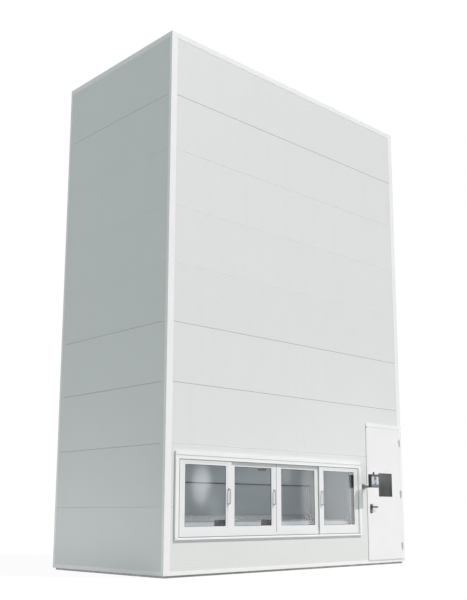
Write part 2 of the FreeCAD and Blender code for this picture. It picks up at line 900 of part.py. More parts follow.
def make_sashes():
    """Outer sashes run in the front track and inner ones in the rear track."""
    outer_left = "-track_half + sash_stop"
    inner_left = "-sash_wide - 1"
    make_sash("left_outer", outer_left, "front_sash_y")
    make_sash("left_inner", inner_left, "rear_sash_y")
    make_sash("right_inner", "1", "rear_sash_y")
    make_sash("right_outer", "track_half - sash_stop - sash_wide", "front_sash_y")
    make_pull("left", f"{outer_left} + sash_wide - stile_wide / 2", "front_sash_y")
    make_pull("middle", "-1 - stile_wide / 2", "rear_sash_y")
    right_stile = "track_half - sash_stop - sash_wide + stile_wide / 2"
    make_pull("right", right_stile, "front_sash_y")


def make_door_frame():
    """Two jambs and a head with stops behind the leaf, and the threshold."""
    front, back = "-door_front", "-inner_y"
    stop = "-door_back + slide_gap"
    left = [
        ("frame_left", back),
        ("frame_left", front),
        ("door_left - door_gap", front),
        ("door_left - door_gap", stop),
        ("door_left + door_stop", stop),
        ("door_left + door_stop", back),
    ]
    right = [
        ("face_x", front),
        ("face_x", back),
        ("door_right - door_stop", back),
        ("door_right - door_stop", stop),
        ("door_right + door_gap", stop),
        ("door_right + door_gap", front),
    ]
    head = [
        (front, "door_high + door_gap"),
        (stop, "door_high + door_gap"),
        (stop, "door_high - door_stop"),
        (back, "door_high - door_stop"),
        (back, "frame_head"),
        (front, "frame_head"),
    ]
    frame = new_body("door_frame")
    post_high = "(door_high - door_stop - butt_gap)"
    jambs = "(threshold_high + butt_gap)"
    pad(frame, "XY", [left, right], jambs, f"{post_high} - {jambs}")
    pad(frame, "YZ", [head], "frame_left", "face_x - frame_left")
    sill = rectangle("frame_left", front, "face_x", back)
    pad(frame, "XY", [sill], "panel_low", "threshold_high - panel_low")
    keeper = rectangle(
        "door_left - door_gap - latch_throw",
        "-latch_y - latch_thick / 2 - 1",
        "door_left - door_gap",
        "-latch_y + latch_thick / 2 + 1",
    )
    pocket(frame, "XY", [keeper], "lever_height + latch_high / 2 + 1", "latch_high + 2")


def make_door():
    """A steel leaf with a glazed opening, a block for the latch, and its fittings."""
    low, high = "door_low", "door_high"
    skin = "door_skin"
    leaf = block("door_left", "-door_front", low, "door_right", "-door_back", high)
    hollow = block(
        f"door_left + {skin}",
        f"-door_front + {skin}",
        f"{low} + {skin}",
        f"door_right - {skin}",
        f"-door_back - {skin}",
        f"{high} - {skin}",
    )
    view_left = "(door_left + vision_left)"
    view_right = f"({view_left} + vision_wide)"
    rim = block(
        f"{view_left} - vision_rim",
        "-door_front",
        "vision_low - vision_rim",
        f"{view_right} + vision_rim",
        "-door_back",
        "vision_high + vision_rim",
    )
    lock = block(
        "door_left",
        "-door_front",
        "lever_plate_low",
        "door_left + lock_block_wide",
        "-door_back",
        "lever_plate_high",
    )
    view = block(view_left, "-door_front - 1", "vision_low", view_right, "-door_back + 1", "vision_high")
    bore = rod(
        "y", "lever_x", "-door_front - 1", "lever_height", "lever_neck + 1", "door_thick + 2"
    )
    bolt_way = block(
        "door_left - 1",
        "-latch_y - latch_thick / 2 - seat_gap",
        "lever_height - latch_high / 2 - seat_gap",
        "door_left + latch_long + latch_throw - 6",
        "-latch_y + latch_thick / 2 + seat_gap",
        "lever_height + latch_high / 2 + seat_gap",
    )
    shell = cut(leaf, cut(hollow, rim, lock))
    keep(cut(shell, view, bore, bolt_way), "door_leaf")

    glass = block(
        f"{view_left} + seat_gap",
        "-door_front + vision_setback",
        "vision_low + seat_gap",
        f"{view_right} - seat_gap",
        "-door_front + vision_setback + vision_thick",
        "vision_high - seat_gap",
    )
    keep(glass, "door_vision_panel")

    bolt = block(
        "door_left - latch_throw",
        "-latch_y - latch_thick / 2",
        "lever_height - latch_high / 2",
        "door_left + latch_long - latch_throw",
        "-latch_y + latch_thick / 2",
        "lever_height + latch_high / 2",
    )
    keep(bolt, "latch_bolt")
    make_hinges()
    make_lever()


def make_hinges():
    """Three lift-off hinges; the pin is fixed in the frame's half."""
    frame_halves, door_halves = [], []
    for middle in ("hinge_low_middle", "hinge_mid_middle", "hinge_top_middle"):
        low, high = f"({middle} - hinge_high / 2)", f"({middle} + hinge_high / 2)"
        plate_y = ("-door_front - seat_gap - hinge_plate", "-door_front - seat_gap")
        knuckle = rod("z", "hinge_x", "-hinge_y", low, "hinge_knuckle", "hinge_high / 2 - butt_gap")
        pin = rod("z", "hinge_x", "-hinge_y", low, "hinge_pin", "hinge_high - 4")
        plate = block(
            "hinge_x + 2", plate_y[0], low, "hinge_x + hinge_leaf", plate_y[1], f"{middle} - butt_gap"
        )
        frame_halves.append(fuse(knuckle, pin, plate))
        upper = rod("z", "hinge_x", "-hinge_y", middle, "hinge_knuckle", "hinge_high / 2")
        plate = block(
            "hinge_x - hinge_leaf", plate_y[0], middle, "hinge_x - 2", plate_y[1], high
        )
        bore = rod("z", "hinge_x", "-hinge_y", f"{middle} - 1", "hinge_pin + run_gap", "hinge_high")
        door_halves.append(cut(fuse(upper, plate), bore))
    keep(group(*frame_halves), "hinge_frame_halves")
    keep(group(*door_halves), "hinge_door_halves")


def make_lever():
    """Back plates on both faces of the leaf, and a lever on each side of one spindle."""
    outer_plate = (
        "-door_front - seat_gap - lever_plate_thick",
        "-door_front - seat_gap",
    )
    inner_plate = ("-door_back + seat_gap", "-door_back + seat_gap + lever_plate_thick")
    plates = []
    for low, high in (outer_plate, inner_plate):
        plate = block(
            "lever_x - lever_plate_wide / 2",
            low,
            "lever_plate_low",
            "lever_x + lever_plate_wide / 2",
            high,
            "lever_plate_high",
        )
        bore = rod("y", "lever_x", f"{low} - 1", "lever_height", "lever_neck + run_gap",
                   "lever_plate_thick + 2")
        plates.append(cut(plate, bore))
    keep(group(*plates), "lever_plates")

    reach = "(lever_reach + lever_bar_thick / 2)"
    start = f"(-door_front - {reach})"
    end = f"(-door_back + {reach})"
    spindle = rod("y", "lever_x", start, "lever_height", "lever_neck", f"{end} - {start}")
    arms = []
    for low in (start, f"{end} - lever_bar_thick"):
        arm = block(
            "lever_x - lever_bar / 2",
            low,
            "lever_height - lever_bar / 2",
            "lever_x + lever_long",
            f"{low} + lever_bar_thick",
            "lever_height + lever_bar / 2",
        )
        arms.append(arm)
    keep(fuse(spindle, *arms), "lever_handle")


def make_console():
    """A touch screen on an inclined arm that swivels on the wall and tilts at the head."""
    x, z = "console_x", "console_pivot_z"
    wall = "-face_y - seat_gap"
    plate = block(
        f"{x} - console_plate_wide / 2",
        f"{wall} - console_plate_thick",
        f"{z} - console_plate_high / 2",
        f"{x} + console_plate_wide / 2",
        wall,
        f"{z} + console_plate_high / 2",
    )
    half = "(console_barrel_high / 2 + butt_gap)"
    ears = []
    for side in sides:
        low, high = span(side, half, f"{half} + console_fork")
        ears.append(
            block(
                f"{x} - console_barrel",
                "-pivot_y - console_pin - 4",
                f"{z} + {low}",
                f"{x} + console_barrel",
                f"{wall} - console_plate_thick / 2",
                f"{z} + {high}",
            )
        )
    pin_low = f"({z} - {half} - console_fork)"
    pin = rod("z", x, "-pivot_y", pin_low, "console_pin", f"2 * ({half} + console_fork)")
    keep(fuse(plate, pin, *ears), "console_bracket")

    barrel_low = f"{z} - console_barrel_high / 2"
    barrel = rod("z", x, "-pivot_y", barrel_low, "console_barrel", "console_barrel_high")
    neck_out = "(console_reach - console_rise)"
    neck = block(
        f"{x} - console_tube",
        f"-pivot_y - {neck_out}",
        f"{z} - console_tube",
        f"{x} + console_tube",
        "-pivot_y",
        f"{z} + console_tube",
    )
    strut = doc.addObject("Part::Cylinder", "strut")
    bind(strut, "Radius", "console_tube")
    bind(strut, "Height", "console_rise * 1.4142")
    strut.Placement.Rotation = FreeCAD.Rotation(FreeCAD.Vector(1, 0, 0), 45)
    place(strut, x, f"-pivot_y - {neck_out}", z)
    eye_half = "(console_tube + 1)"
    eye = rod("x", f"{x} - {eye_half}", "-tilt_y", "tilt_z", "console_eye", f"2 * {eye_half}")
    swivel_bore = rod(
        "z", x, "-pivot_y", f"{barrel_low} - 1", "console_pin + run_gap", "console_barrel_high + 2"
    )
    tilt_bore = rod(
        "x", f"{x} - 30", "-tilt_y", "tilt_z", "console_tilt_pin + run_gap", "60"
    )
    keep(cut(fuse(barrel, neck, strut, eye), swivel_bore, tilt_bore), "console_arm")

    head = new_body("console_head", x=x)
    head_high = "(head_low + head_high)"
    half_wide = "(head_wide / 2)"
    c = "head_corner"
    front = [
        (f"-{half_wide} + {c}", "head_low"),
        (f"{half_wide} - {c}", "head_low"),
        (half_wide, f"head_low + {c}"),
        (half_wide, f"{head_high} - {c}"),
        (f"{half_wide} - {c}", head_high),
        (f"-{half_wide} + {c}", head_high),
        (f"-{half_wide}", f"{head_high} - {c}"),
        (f"-{half_wide}", f"head_low + {c}"),
    ]
    pad(head, "XZ", [front], "head_back", "head_thick")
    recess = rectangle(
        f"-{half_wide} + head_bezel_side",
        "head_low + head_bezel_low",
        f"{half_wide} - head_bezel_side",
        f"{head_high} - head_bezel_top",
    )
    pocket(head, "XZ", [recess], "head_front", "screen_thick + 1")
    lug_near = f"({eye_half} + butt_gap)"
    lug_far = f"({lug_near} + console_lug)"
    lugs = both_sides(lug_near, "tilt_z - console_eye", lug_far, "tilt_z + console_eye")
    pad(head, "XZ", lugs, "tilt_y - console_eye / 2", "head_back - tilt_y + console_eye / 2")
    pivot = [circle("-tilt_y", "tilt_z", "console_tilt_pin")]
    pad(head, "YZ", pivot, f"-{lug_far}", f"2 * {lug_far}")

    screen = block(
        f"{x} - {half_wide} + head_bezel_side + seat_gap",
        "-head_front + 1",
        "head_low + head_bezel_low + seat_gap",
        f"{x} + {half_wide} - head_bezel_side - seat_gap",
        "-head_front + 1 + screen_thick",
        f"{head_high} - head_bezel_top - seat_gap",
    )
    keep(screen, "console_screen")
    lamp = rod(
        "z", x, "-head_back - head_thick / 2", f"{head_high} + seat_gap", "lamp_radius", "lamp_high"
    )
    keep(lamp, "status_lamp")


def make_steel_frame():
    """Beams on the floor and at the top, and eight posts between them."""
    beams = new_body("frame_beams", x="window_middle")
    levels = (("beam_low", "beam_top"), ("top_beam_low", "frame_top"))
    reach = "column_outer"
    for low, high in levels:
        sections = []
        for sign in ("-", ""):
            near, far = ("-post_far", "-post_near") if sign else ("post_near", "post_far")
            sections += tube(near, low, far, high, "beam_wall")
        pad(beams, "XZ", sections, f"-{reach}", f"2 * {reach}")
        sections = []
        for side in sides:
            near, far = span(side, "shaft_half", "shaft_half + post_wide")
            sections += tube(near, low, far, high, "beam_wall")
        run = "(post_near - butt_gap)"
        pad(beams, "YZ", sections, f"-{run}", f"2 * {run}")

    posts = new_body("uprights", x="window_middle")
    sections = []
    for x_side in sides:
        left, right = span(x_side, "post_near", "post_far")
        for y_side in sides:
            for near, far in (
                ("shaft_half", "shaft_half + post_wide"),
                ("column_outer - post_wide", "column_outer"),
            ):
                low, high = span(y_side, near, far)
                sections += tube(left, low, right, high, "post_wall")
    foot = "(beam_top + seat_gap)"
    pad(posts, "XY", sections, foot, f"top_beam_low - seat_gap - {foot}")


# Runs of stored trays: the first level, in slots from the bay's, and how many
front_runs = ((3, "upper_slots"),)
rear_runs = ((-1, 1), (2, 3), (6, "upper_slots - 3"))


def make_rails():
    """A shelf rail under each side of every tray place, in both columns and in the bay."""
    rails = new_body("tray_rails", x="window_middle")
    front = ("-column_outer", "-shaft_half")
    rear = ("shaft_half", "column_outer")
    runs = ((front, -1, 1), (front, 3, "upper_slots"), (rear, -1, "upper_slots + 4"))
    for (low_y, high_y), first, count in runs:
        loops = both_sides("rail_near", low_y, "post_near - seat_gap", high_y)
        start = f"bay_level + {first} * slot_pitch - seat_gap - rail_plate"
        rail = pad(rails, "XY", loops, start, "rail_plate")
        if count != 1:
            repeat(rails, [rail], "Z", "slot_pitch", count)
    loops = both_sides("rail_near", front[0], "liner_near - seat_gap", front[1])
    pad(rails, "XY", loops, "bay_level - seat_gap - rail_plate", "rail_plate")


def tray_pieces(body, level, middle_y):
    """Bottom sheet, two side profiles and two end walls of one tray."""
    side_in = "(tray_half - tray_side)"
    in_x = f"({side_in} - butt_gap)"
    end_out = "(tray_deep / 2)"
    end_in = f"({end_out} - tray_sheet)"
    sheet_y = f"({end_in} - butt_gap)"
    bottom = [rectangle(f"-{in_x}", f"{middle_y} - {sheet_y}", in_x, f"{middle_y} + {sheet_y}")]
    walls = both_sides(
        side_in, f"{middle_y} - tray_side_half", "tray_half", f"{middle_y} + tray_side_half"
    )
    for side in sides:
        low, high = span(side, end_in, end_out)
        walls.append(rectangle(f"-{in_x}", f"{middle_y} + {low}", in_x, f"{middle_y} + {high}"))
    floor = pad(body, "XY", bottom, level, "tray_sheet")
    sides_up = pad(body, "XY", walls, level, "tray_high")
    return [floor, sides_up]


def make_trays():
    """Stored trays in the two columns, and the tray that the lift carries."""
    for label, runs, middle_y in (
        ("front_trays", front_runs, "(-tray_step)"),
        ("rear_trays", rear_runs, "tray_step"),
    ):
        trays = new_body(label, x="window_middle")
        for first, count in runs:
            features = tray_pieces(trays, f"bay_level + {first} * slot_pitch", middle_y)
            if count != 1:
                repeat(trays, features, "Z", "slot_pitch", count)
    tray = new_body("lift_tray", x="window_middle")
    tray_pieces(tray, "bay_level", "0")


def make_bay():
    """The picking bay behind the window: liner sheets, light, light barriers and shutter."""
    liner = new_body("bay_liner", x="window_middle")
    cheeks = both_sides("liner_near", "-liner_front", "liner_far", "-liner_back")
    high = "ceiling_level"
    pad(liner, "XY", cheeks, "liner_low", f"{high} - liner_low")
    inside = "(liner_near - butt_gap)"
    flat = [rectangle(f"-{inside}", "-liner_front", inside, "-liner_back")]
    pad(liner, "XY", flat, "deck_level - liner_sheet", "liner_sheet")
    pad(liner, "XY", flat, "ceiling_level - liner_sheet", "liner_sheet")
    edge = "(-liner_front + liner_sheet)"
    board = rectangle(f"-{inside}", "-liner_front", inside, edge)
    pad(liner, "XY", [board], "deck_level + seat_gap", "sill_board")
    back = "(-inner_y + 2 * seat_gap + barrier_deep)"
    returns = both_sides(
        "liner_far + seat_gap", back, "liner_far + return_wide", f"{back} + liner_sheet"
    )
    pad(liner, "XY", returns, "liner_low", f"{high} - liner_low")
    fascia_back = "(-shaft_half - slide_gap - guide_wall - seat_gap)"
    fascia_half = "(post_near - seat_gap)"
    fascia = rectangle(
        f"-{fascia_half}", f"{fascia_back} - liner_sheet", fascia_half, fascia_back
    )
    pad(liner, "XY", [fascia], "fascia_low", "guide_high - fascia_low")

    light_y = "(-liner_front + light_inset)"
    light_top = "(ceiling_level - liner_sheet - seat_gap)"
    light = block(
        "window_middle - light_half",
        light_y,
        f"{light_top} - light_high",
        "window_middle + light_half",
        f"{light_y} + light_wide",
        light_top,
    )
    keep(light, "bay_light")

    barriers = new_body("light_barriers", x="window_middle")
    far = "barrier_near + barrier_wide"
    back = "(-inner_y + seat_gap)"
    posts = both_sides("barrier_near", back, far, f"{back} + barrier_deep")
    tall = "cut_high - cut_low + 2 * barrier_overlap"
    pad(barriers, "XY", posts, "cut_low - barrier_overlap", tall)

    shutter = block(
        "window_middle - shutter_half",
        "-shutter_front",
        "shutter_low",
        "window_middle + shutter_half",
        "-shutter_back",
        "shutter_low + shutter_high",
    )
    keep(shutter, "bay_shutter")

    grip_in = "(shutter_half - guide_grip)"
    slot_far = "(shutter_half + slide_gap)"
    channel_far = f"({slot_far} + guide_wall + 7)"
    slot_front = "(-shutter_front - seat_gap)"
    slot_back = "(-shutter_back + seat_gap)"
    plate_back = "(-shaft_half - slide_gap)"
    channel = [
        (grip_in, f"{slot_back} + guide_wall"),
        (grip_in, slot_back),
        (slot_far, slot_back),
        (slot_far, slot_front),
        (grip_in, slot_front),
        (grip_in, f"{plate_back} + seat_gap"),
        (channel_far, f"{plate_back} + seat_gap"),
        (channel_far, f"{slot_back} + guide_wall"),
    ]
    plates = both_sides(grip_in, f"{plate_back} - guide_wall", "post_near - seat_gap", plate_back)
    guides = new_body("shutter_guides", x="window_middle")
    loops = [channel, mirrored(channel)] + plates
    pad(guides, "XY", loops, "guide_low", "guide_high - guide_low")


def make_carriage():
    """Side plates, cross tubes and tray ledges of the lift, with its shoes and belt clamps."""
    level = "bay_level"
    carriage = new_body("carriage_frame", x="window_middle")
    low, high = f"({level} - cheek_drop)", f"({level} + cheek_rise)"
    cheeks = both_sides("cheek_near", "-cheek_half", "cheek_far", "cheek_half")
    pad(carriage, "XY", cheeks, low, f"{high} - {low}")
    ledges = both_sides("rail_near", "-ledge_half", "cheek_near - seat_gap", "ledge_half")
    pad(carriage, "XY", ledges, f"{level} - seat_gap - rail_plate", "rail_plate")
    sections = []
    tube_low = f"({low} + 10)"
    for side in sides:
        near, far = span(side, "cross_out - cross_wide", "cross_out")
        sections += tube(near, tube_low, far, f"{tube_low} + cross_high", "post_wall")
    run = "(cheek_near - butt_gap)"
    pad(carriage, "YZ", sections, f"-{run}", f"2 * {run}")
    near_x = "(cheek_far + seat_gap)"
    clamp_far = "(belt_far + 2)"
    front_y = "(-belt_outer - 12)"
    back_y = "(-belt_inner + 12)"
    clamps = both_sides(near_x, front_y, clamp_far, back_y)
    clamp_start = f"{level} + clamp_low"
    pad(carriage, "XY", clamps, clamp_start, "clamp_high - clamp_low")
    slots = both_sides(
        "belt_near - 1", "-belt_outer - butt_gap", "belt_far + 1", "-belt_inner + butt_gap"
    )
    pocket(carriage, "XY", slots, f"{level} + clamp_high", "clamp_high - clamp_low")

    shoes = new_body("guide_shoes", x="window_middle")
    for start in (f"{low} + 10", f"{high} - 10 - shoe_high"):
        loops = []
        for side in sides:
            y_low, y_high = span(side, "shaft_half - shoe_run - 64", "shaft_half - shoe_run")
            loops += both_sides(near_x, y_low, f"{near_x} + shoe_thick", y_high)
        pad(shoes, "XY", loops, start, "shoe_high")


def belt_loop(x0, x1, ends, inner, outer):
    """A flat belt loop round two pulleys of one size; ends are the pulleys' (y, z) centres."""
    (y_first, z_first), (y_last, z_last) = ends
    upright = value(z_first) != value(z_last)

    def racetrack(radius, low_x, high_x):
        if upright:
            body = block(
                low_x, f"{y_first} - {radius}", z_first, high_x, f"{y_first} + {radius}", z_last
            )
        else:
            body = block(
                low_x, y_first, f"{z_first} - {radius}", high_x, y_last, f"{z_first} + {radius}"
            )
        wide = f"({high_x}) - ({low_x})"
        caps = [rod("x", low_x, y, z, radius, wide) for y, z in ends]
        return fuse(body, *caps)

    return cut(racetrack(outer, x0, x1), racetrack(inner, f"{x0} - 1", f"{x1} + 1"))


def make_lift_drive():
    """Two belts over a driven top shaft and bottom idlers, with bearings and gearmotor."""
    loops = []
    ends = (("0", "idler_z"), ("0", "drive_shaft_z"))
    for side in sides:
        x0, x1 = span(side, "belt_near", "belt_far")
        belt = belt_loop(f"window_middle + {x0}", f"window_middle + {x1}", ends,
                         "belt_inner", "belt_outer")
        loops.append(belt)
    keep(group(*loops), "lift_belts")

    flange_near = "(belt_near - 1 - flange_thick)"
    flange_far = "(belt_far + 1 + flange_thick)"
    shaft_end = "(gearbox_near + gearbox_wide - 10)"
    r = "drive_shaft_radius"

    def pulley_points(side):
        stations = [
            (flange_near, r),
            (flange_near, "flange_radius"),
            ("belt_near - 1", "flange_radius"),
            ("belt_near - 1", "pulley_radius"),
            ("belt_far + 1", "pulley_radius"),
            ("belt_far + 1", "flange_radius"),
            (flange_far, "flange_radius"),
            (flange_far, r),
        ]
        if side > 0:
            return stations
        return [(f"-({across})", up) for across, up in reversed(stations)]

    profile = [(f"-({flange_far} + 10)", "0"), (f"-({flange_far} + 10)", r)]
    profile += pulley_points(-1) + pulley_points(1)
    profile += [(shaft_end, r), (shaft_end, "0")]
    shaft = new_body("drive_shaft", x="window_middle", z="drive_shaft_z")
    turned = shaft.newObject("PartDesign::Revolution", "turned")
    turned.Profile = sketch_on(shaft, "XZ", [profile[::-1]], "0")
    turned.ReferenceAxis = (origin_feature(shaft, "X_Axis"), [""])
    turned.Angle = 360
    doc.recompute()

    blocks = []
    for side in sides:
        low, high = span(side, "post_near + 5", "post_near + 5 + bearing_wide")
        housing = block(
            f"window_middle + {low}",
            "-bearing_half",
            "drive_shaft_z - bearing_half",
            f"window_middle + {high}",
            "bearing_half",
            "top_beam_low - seat_gap",
        )
        bore = rod("x", f"window_middle + {low} - 1", "0", "drive_shaft_z", f"{r} + run_gap",
                   "bearing_wide + 2")
        blocks.append(cut(housing, bore))
    keep(group(*blocks), "shaft_bearings")

    near = "(window_middle + gearbox_near)"
    far = f"({near} + gearbox_wide)"
    box = block(near, "-gearbox_half", "drive_shaft_z - gearbox_half", far, "gearbox_half",
                "drive_shaft_z + gearbox_half")
    motor_low = "(drive_shaft_z - gearbox_half - motor_long)"
    motor = rod("z", f"({near} + {far}) / 2", "0", motor_low, "motor_radius", "motor_long + 1")
    shelf_low = "(drive_shaft_z + gearbox_half - 1)"
    arm_left = "(window_middle + post_far + seat_gap)"
    shelf = block(arm_left, "-gearbox_half", shelf_low, far, "gearbox_half", f"{shelf_low} + 11")
    cleat = block(arm_left, "-gearbox_half", shelf_low, f"{arm_left} + 10", "gearbox_half",
                  "frame_top")
    bore = rod("x", f"{near} - 1", "0", "drive_shaft_z", f"{r} + run_gap", "gearbox_wide + 2")
    keep(cut(fuse(box, motor, shelf, cleat), bore), "lift_gearmotor")

    pulleys, axles = [], []
    for side in sides:
        def at(near_end, far_end):
            low, high = span(side, near_end, far_end)
            return f"window_middle + {low}", f"window_middle + {high}"

        hub_low, hub_high = at(flange_near, flange_far)
        drum = rod("x", hub_low, "0", "idler_z", "pulley_radius", f"({hub_high}) - ({hub_low})")
        rims = []
        for near_end, far_end in (
            (flange_near, "belt_near - 1"),
            ("belt_far + 1", flange_far),
        ):
            low, high = at(near_end, far_end)
            rims.append(rod("x", low, "0", "idler_z", "flange_radius", f"({high}) - ({low})"))
        bore = rod("x", f"{hub_low} - 1", "0", "idler_z", "idler_axle + run_gap",
                   f"({hub_high}) - ({hub_low}) + 2")
        pulleys.append(cut(fuse(drum, *rims), bore))
        low, high = at("post_far + seat_gap", f"{flange_near} - butt_gap")
        plate = block(low, "-50", "beam_low", high, "50", "idler_z + 45")
        low, high = at("post_far + seat_gap", f"{flange_far} + 8")
        axle = rod("x", low, "0", "idler_z", "idler_axle", f"({high}) - ({low})")
        low, high = at(f"{flange_far} + butt_gap", f"{flange_far} + 8")
        cap = rod("x", low, "0", "idler_z", "idler_axle + 8", f"({high}) - ({low})")
        axles.append(fuse(plate, axle, cap))
    keep(group(*pulleys), "lift_idlers")
    keep(group(*axles), "idler_axles")


def make_transfer_drive():
    """The belts on the carriage that push a tray off it, with their shaft, idlers and motor."""
    z = "(bay_level + transfer_z)"
    ends = (("-transfer_out", z), ("transfer_out", z))
    loops, idlers, dogs = [], [], []
    for side in sides:
        low, high = span(side, "transfer_near", "transfer_far")
        x0, x1 = f"window_middle + {low}", f"window_middle + {high}"
        loops.append(belt_loop(x0, x1, ends, "transfer_inner", "transfer_outer"))
        idlers.append(
            rod("x", x0, "-transfer_out", z, "transfer_radius", "transfer_wide")
        )
        low, high = span(side, "tray_half - tray_side + 1", "transfer_far")
        dogs.append(
            block(
                f"window_middle + {low}",
                "tray_side_half + seat_gap",
                f"{z} + transfer_outer + seat_gap",
                f"window_middle + {high}",
                "tray_side_half + seat_gap + dog_thick",
                f"{z} + transfer_outer + seat_gap + dog_high",
            )
        )
    keep(group(*loops), "transfer_belts")
    keep(group(*dogs), "tray_dogs")

    stubs = []
    for side, wheel in zip(sides, idlers):
        low, high = span(side, "transfer_far", "cheek_near - seat_gap")
        hub = rod("x", f"window_middle + {low}", "-transfer_out", z, "transfer_shaft",
                  f"({high}) - ({low})")
        stubs.append(fuse(wheel, hub))
    keep(group(*stubs), "transfer_idlers")

    reach = "(cheek_near - seat_gap)"
    wheels = [
        rod("x", f"window_middle - {reach}", "transfer_out", z, "transfer_shaft", f"2 * {reach}")
    ]
    for side in sides:
        low, high = span(side, "transfer_near", "transfer_far")
        x0 = f"window_middle + {low}"
        wheel = rod("x", x0, "transfer_out", z, "transfer_radius", "transfer_wide")
        bore = rod("x", f"{x0} - 1", "transfer_out", z, "transfer_shaft + seat_gap",
                   "transfer_wide + 2")
        wheels.append(cut(wheel, bore))
    keep(group(*wheels), "transfer_shaft")

    near = "(window_middle + cheek_far + seat_gap)"
    case = rod("x", near, "transfer_out", z, "transfer_motor_radius", "transfer_motor_long")
    flange = block(near, "transfer_out - 60", f"{z} - 28", f"{near} + 12",
                   "transfer_out + 20", f"{z} + 28")
    keep(fuse(case, flange), "transfer_motor")


def make_cabinet():
    """The control cabinet in the service passage, with its door and main switch."""
    left, right = "cabinet_left", "(cabinet_left + cabinet_wide)"
    low, high = "cabinet_low", "(cabinet_low + cabinet_high)"
    case = block(left, "cabinet_front", low, right, "cabinet_back", high)
    s = "cabinet_sheet"
    hollow = block(f"{left} + {s}", "cabinet_front - 1", f"{low} + {s}", f"{right} - {s}",
                   f"cabinet_back - {s}", f"{high} - {s}")
    door = block(left, "cabinet_door_front", low, right, "cabinet_door_back", high)
    x, y = "cabinet_hinge_x", "cabinet_hinge_y"
    ears, barrels, bores = [], [], []
    for barrel_low in (
        f"({low} + cabinet_hinge_inset)",
        f"({high} - cabinet_hinge_inset - cabinet_hinge_high)",
    ):
        ear_low = f"({barrel_low} - butt_gap - cabinet_ear)"
        ear_top = f"{ear_low} + cabinet_ear"
        ears.append(rod("z", x, y, ear_low, "cabinet_hinge", "cabinet_ear"))
        ears.append(
            block(f"{x} - cabinet_hinge", y, ear_low, f"{left} - 1", "cabinet_front + 18", ear_top)
        )
        ears.append(
            block(f"{left} - 2", "cabinet_front + 1", ear_low, f"{left} + 1",
                  "cabinet_front + 18", ear_top)
        )
        pin_long = "cabinet_ear + butt_gap + cabinet_hinge_high - 2"
        ears.append(rod("z", x, y, ear_low, "cabinet_hinge_pin", pin_long))
        barrels.append(rod("z", x, y, barrel_low, "cabinet_hinge", "cabinet_hinge_high"))
        barrels.append(
            block(x, f"{y} - 3", barrel_low, f"{left} + 5", f"{y} + 3",
                  f"{barrel_low} + cabinet_hinge_high")
        )
        bores.append(
            rod("z", x, y, f"{barrel_low} - 1", "cabinet_hinge_pin + run_gap",
                "cabinet_hinge_high + 2")
        )
    keep(fuse(cut(case, hollow), *ears), "control_cabinet")
    keep(cut(fuse(door, *barrels), *bores), "cabinet_door")

    switch_x = f"({left} + 90)"
    switch_z = f"({high} - 250)"
    face = "(cabinet_door_front - seat_gap)"
    disc = rod("y", switch_x, f"{face} - 8", switch_z, "switch_radius", "8")
    grip = block(f"{switch_x} - 7", f"{face} - switch_proud", f"{switch_z} - switch_radius + 2",
                 f"{switch_x} + 7", f"{face} - 8", f"{switch_z} + switch_radius - 2")
    keep(fuse(disc, grip), "main_switch")


make_base()
make_walls()
make_roof()
make_trims()
make_window_frame()
make_sashes()
make_door_frame()
make_door()
make_console()
make_steel_frame()
make_rails()
make_trays()
make_bay()
make_carriage()
make_lift_drive()
make_transfer_drive()
make_cabinet()
doc.recompute()

for thing in doc.Objects:
    if "Invalid" in thing.State or "Error" in thing.State:
        raise RuntimeError(f"{thing.Name} ({thing.Label}) failed: {thing.State}")
for node in nodes:
    if node.Shape.isNull() or not node.Shape.isValid():
        raise RuntimeError(f"{node.Label} has no valid shape")

os.makedirs("parts", exist_ok=True)
for node in nodes:
    node.Shape.exportStep(f"parts/{node.Label}.step")
print(len(nodes), "nodes,", sum(len(node.Shape.Solids) for node in nodes), "solids")
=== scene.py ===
# %% [markdown]
# # A vertical lift module in its panel enclosure
# This lesson dresses a storage lift of building size. The engineering model gives every part its shape
# and place, in metres, with the ground at zero and the origin in the middle of the foot. We bring that
# model in, set up the camera and the light, give each part a finish made from nodes, and model the small
# things that make it look real: seals, rivets, a lever, a lock, the picture on the screen.

# %% Load the model
import math

import bpy
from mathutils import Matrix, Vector


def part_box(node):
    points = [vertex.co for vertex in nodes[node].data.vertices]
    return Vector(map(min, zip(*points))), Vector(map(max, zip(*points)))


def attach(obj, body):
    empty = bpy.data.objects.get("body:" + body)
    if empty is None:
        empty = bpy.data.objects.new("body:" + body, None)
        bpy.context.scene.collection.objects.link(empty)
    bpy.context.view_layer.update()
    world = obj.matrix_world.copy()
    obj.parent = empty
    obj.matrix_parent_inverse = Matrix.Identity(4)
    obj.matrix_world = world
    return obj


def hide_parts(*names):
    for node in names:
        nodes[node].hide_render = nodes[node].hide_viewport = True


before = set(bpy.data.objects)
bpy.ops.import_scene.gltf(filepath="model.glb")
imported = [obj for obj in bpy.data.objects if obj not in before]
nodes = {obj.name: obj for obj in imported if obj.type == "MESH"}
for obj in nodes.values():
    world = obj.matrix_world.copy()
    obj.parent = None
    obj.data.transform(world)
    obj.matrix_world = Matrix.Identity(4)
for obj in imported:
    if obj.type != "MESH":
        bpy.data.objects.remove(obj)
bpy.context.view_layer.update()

# %% [markdown]
# ## Camera
# The photograph was taken from the ground, left of the object, with the camera tipped up a little and its
# picture shifted, as on a view camera. The focal length is given in pixels of the photograph. Blender
# wants millimetres for a 36 mm sensor along the longer side, so we convert it. The shift moves the
# picture without turning the camera, which keeps the walls' edges as upright as the photograph has them.


# %% Put a camera or a light in the scene
def put_in_scene(name, data, rotation, location=(0, 0, 0)):
    """An object that holds the camera's or the light's data, turned and placed."""
    thing = bpy.data.objects.new(name, data)
    thing.location = location
    thing.rotation_euler = rotation
    bpy.context.scene.collection.objects.link(thing)
    print(name, "at", location)
    return thing


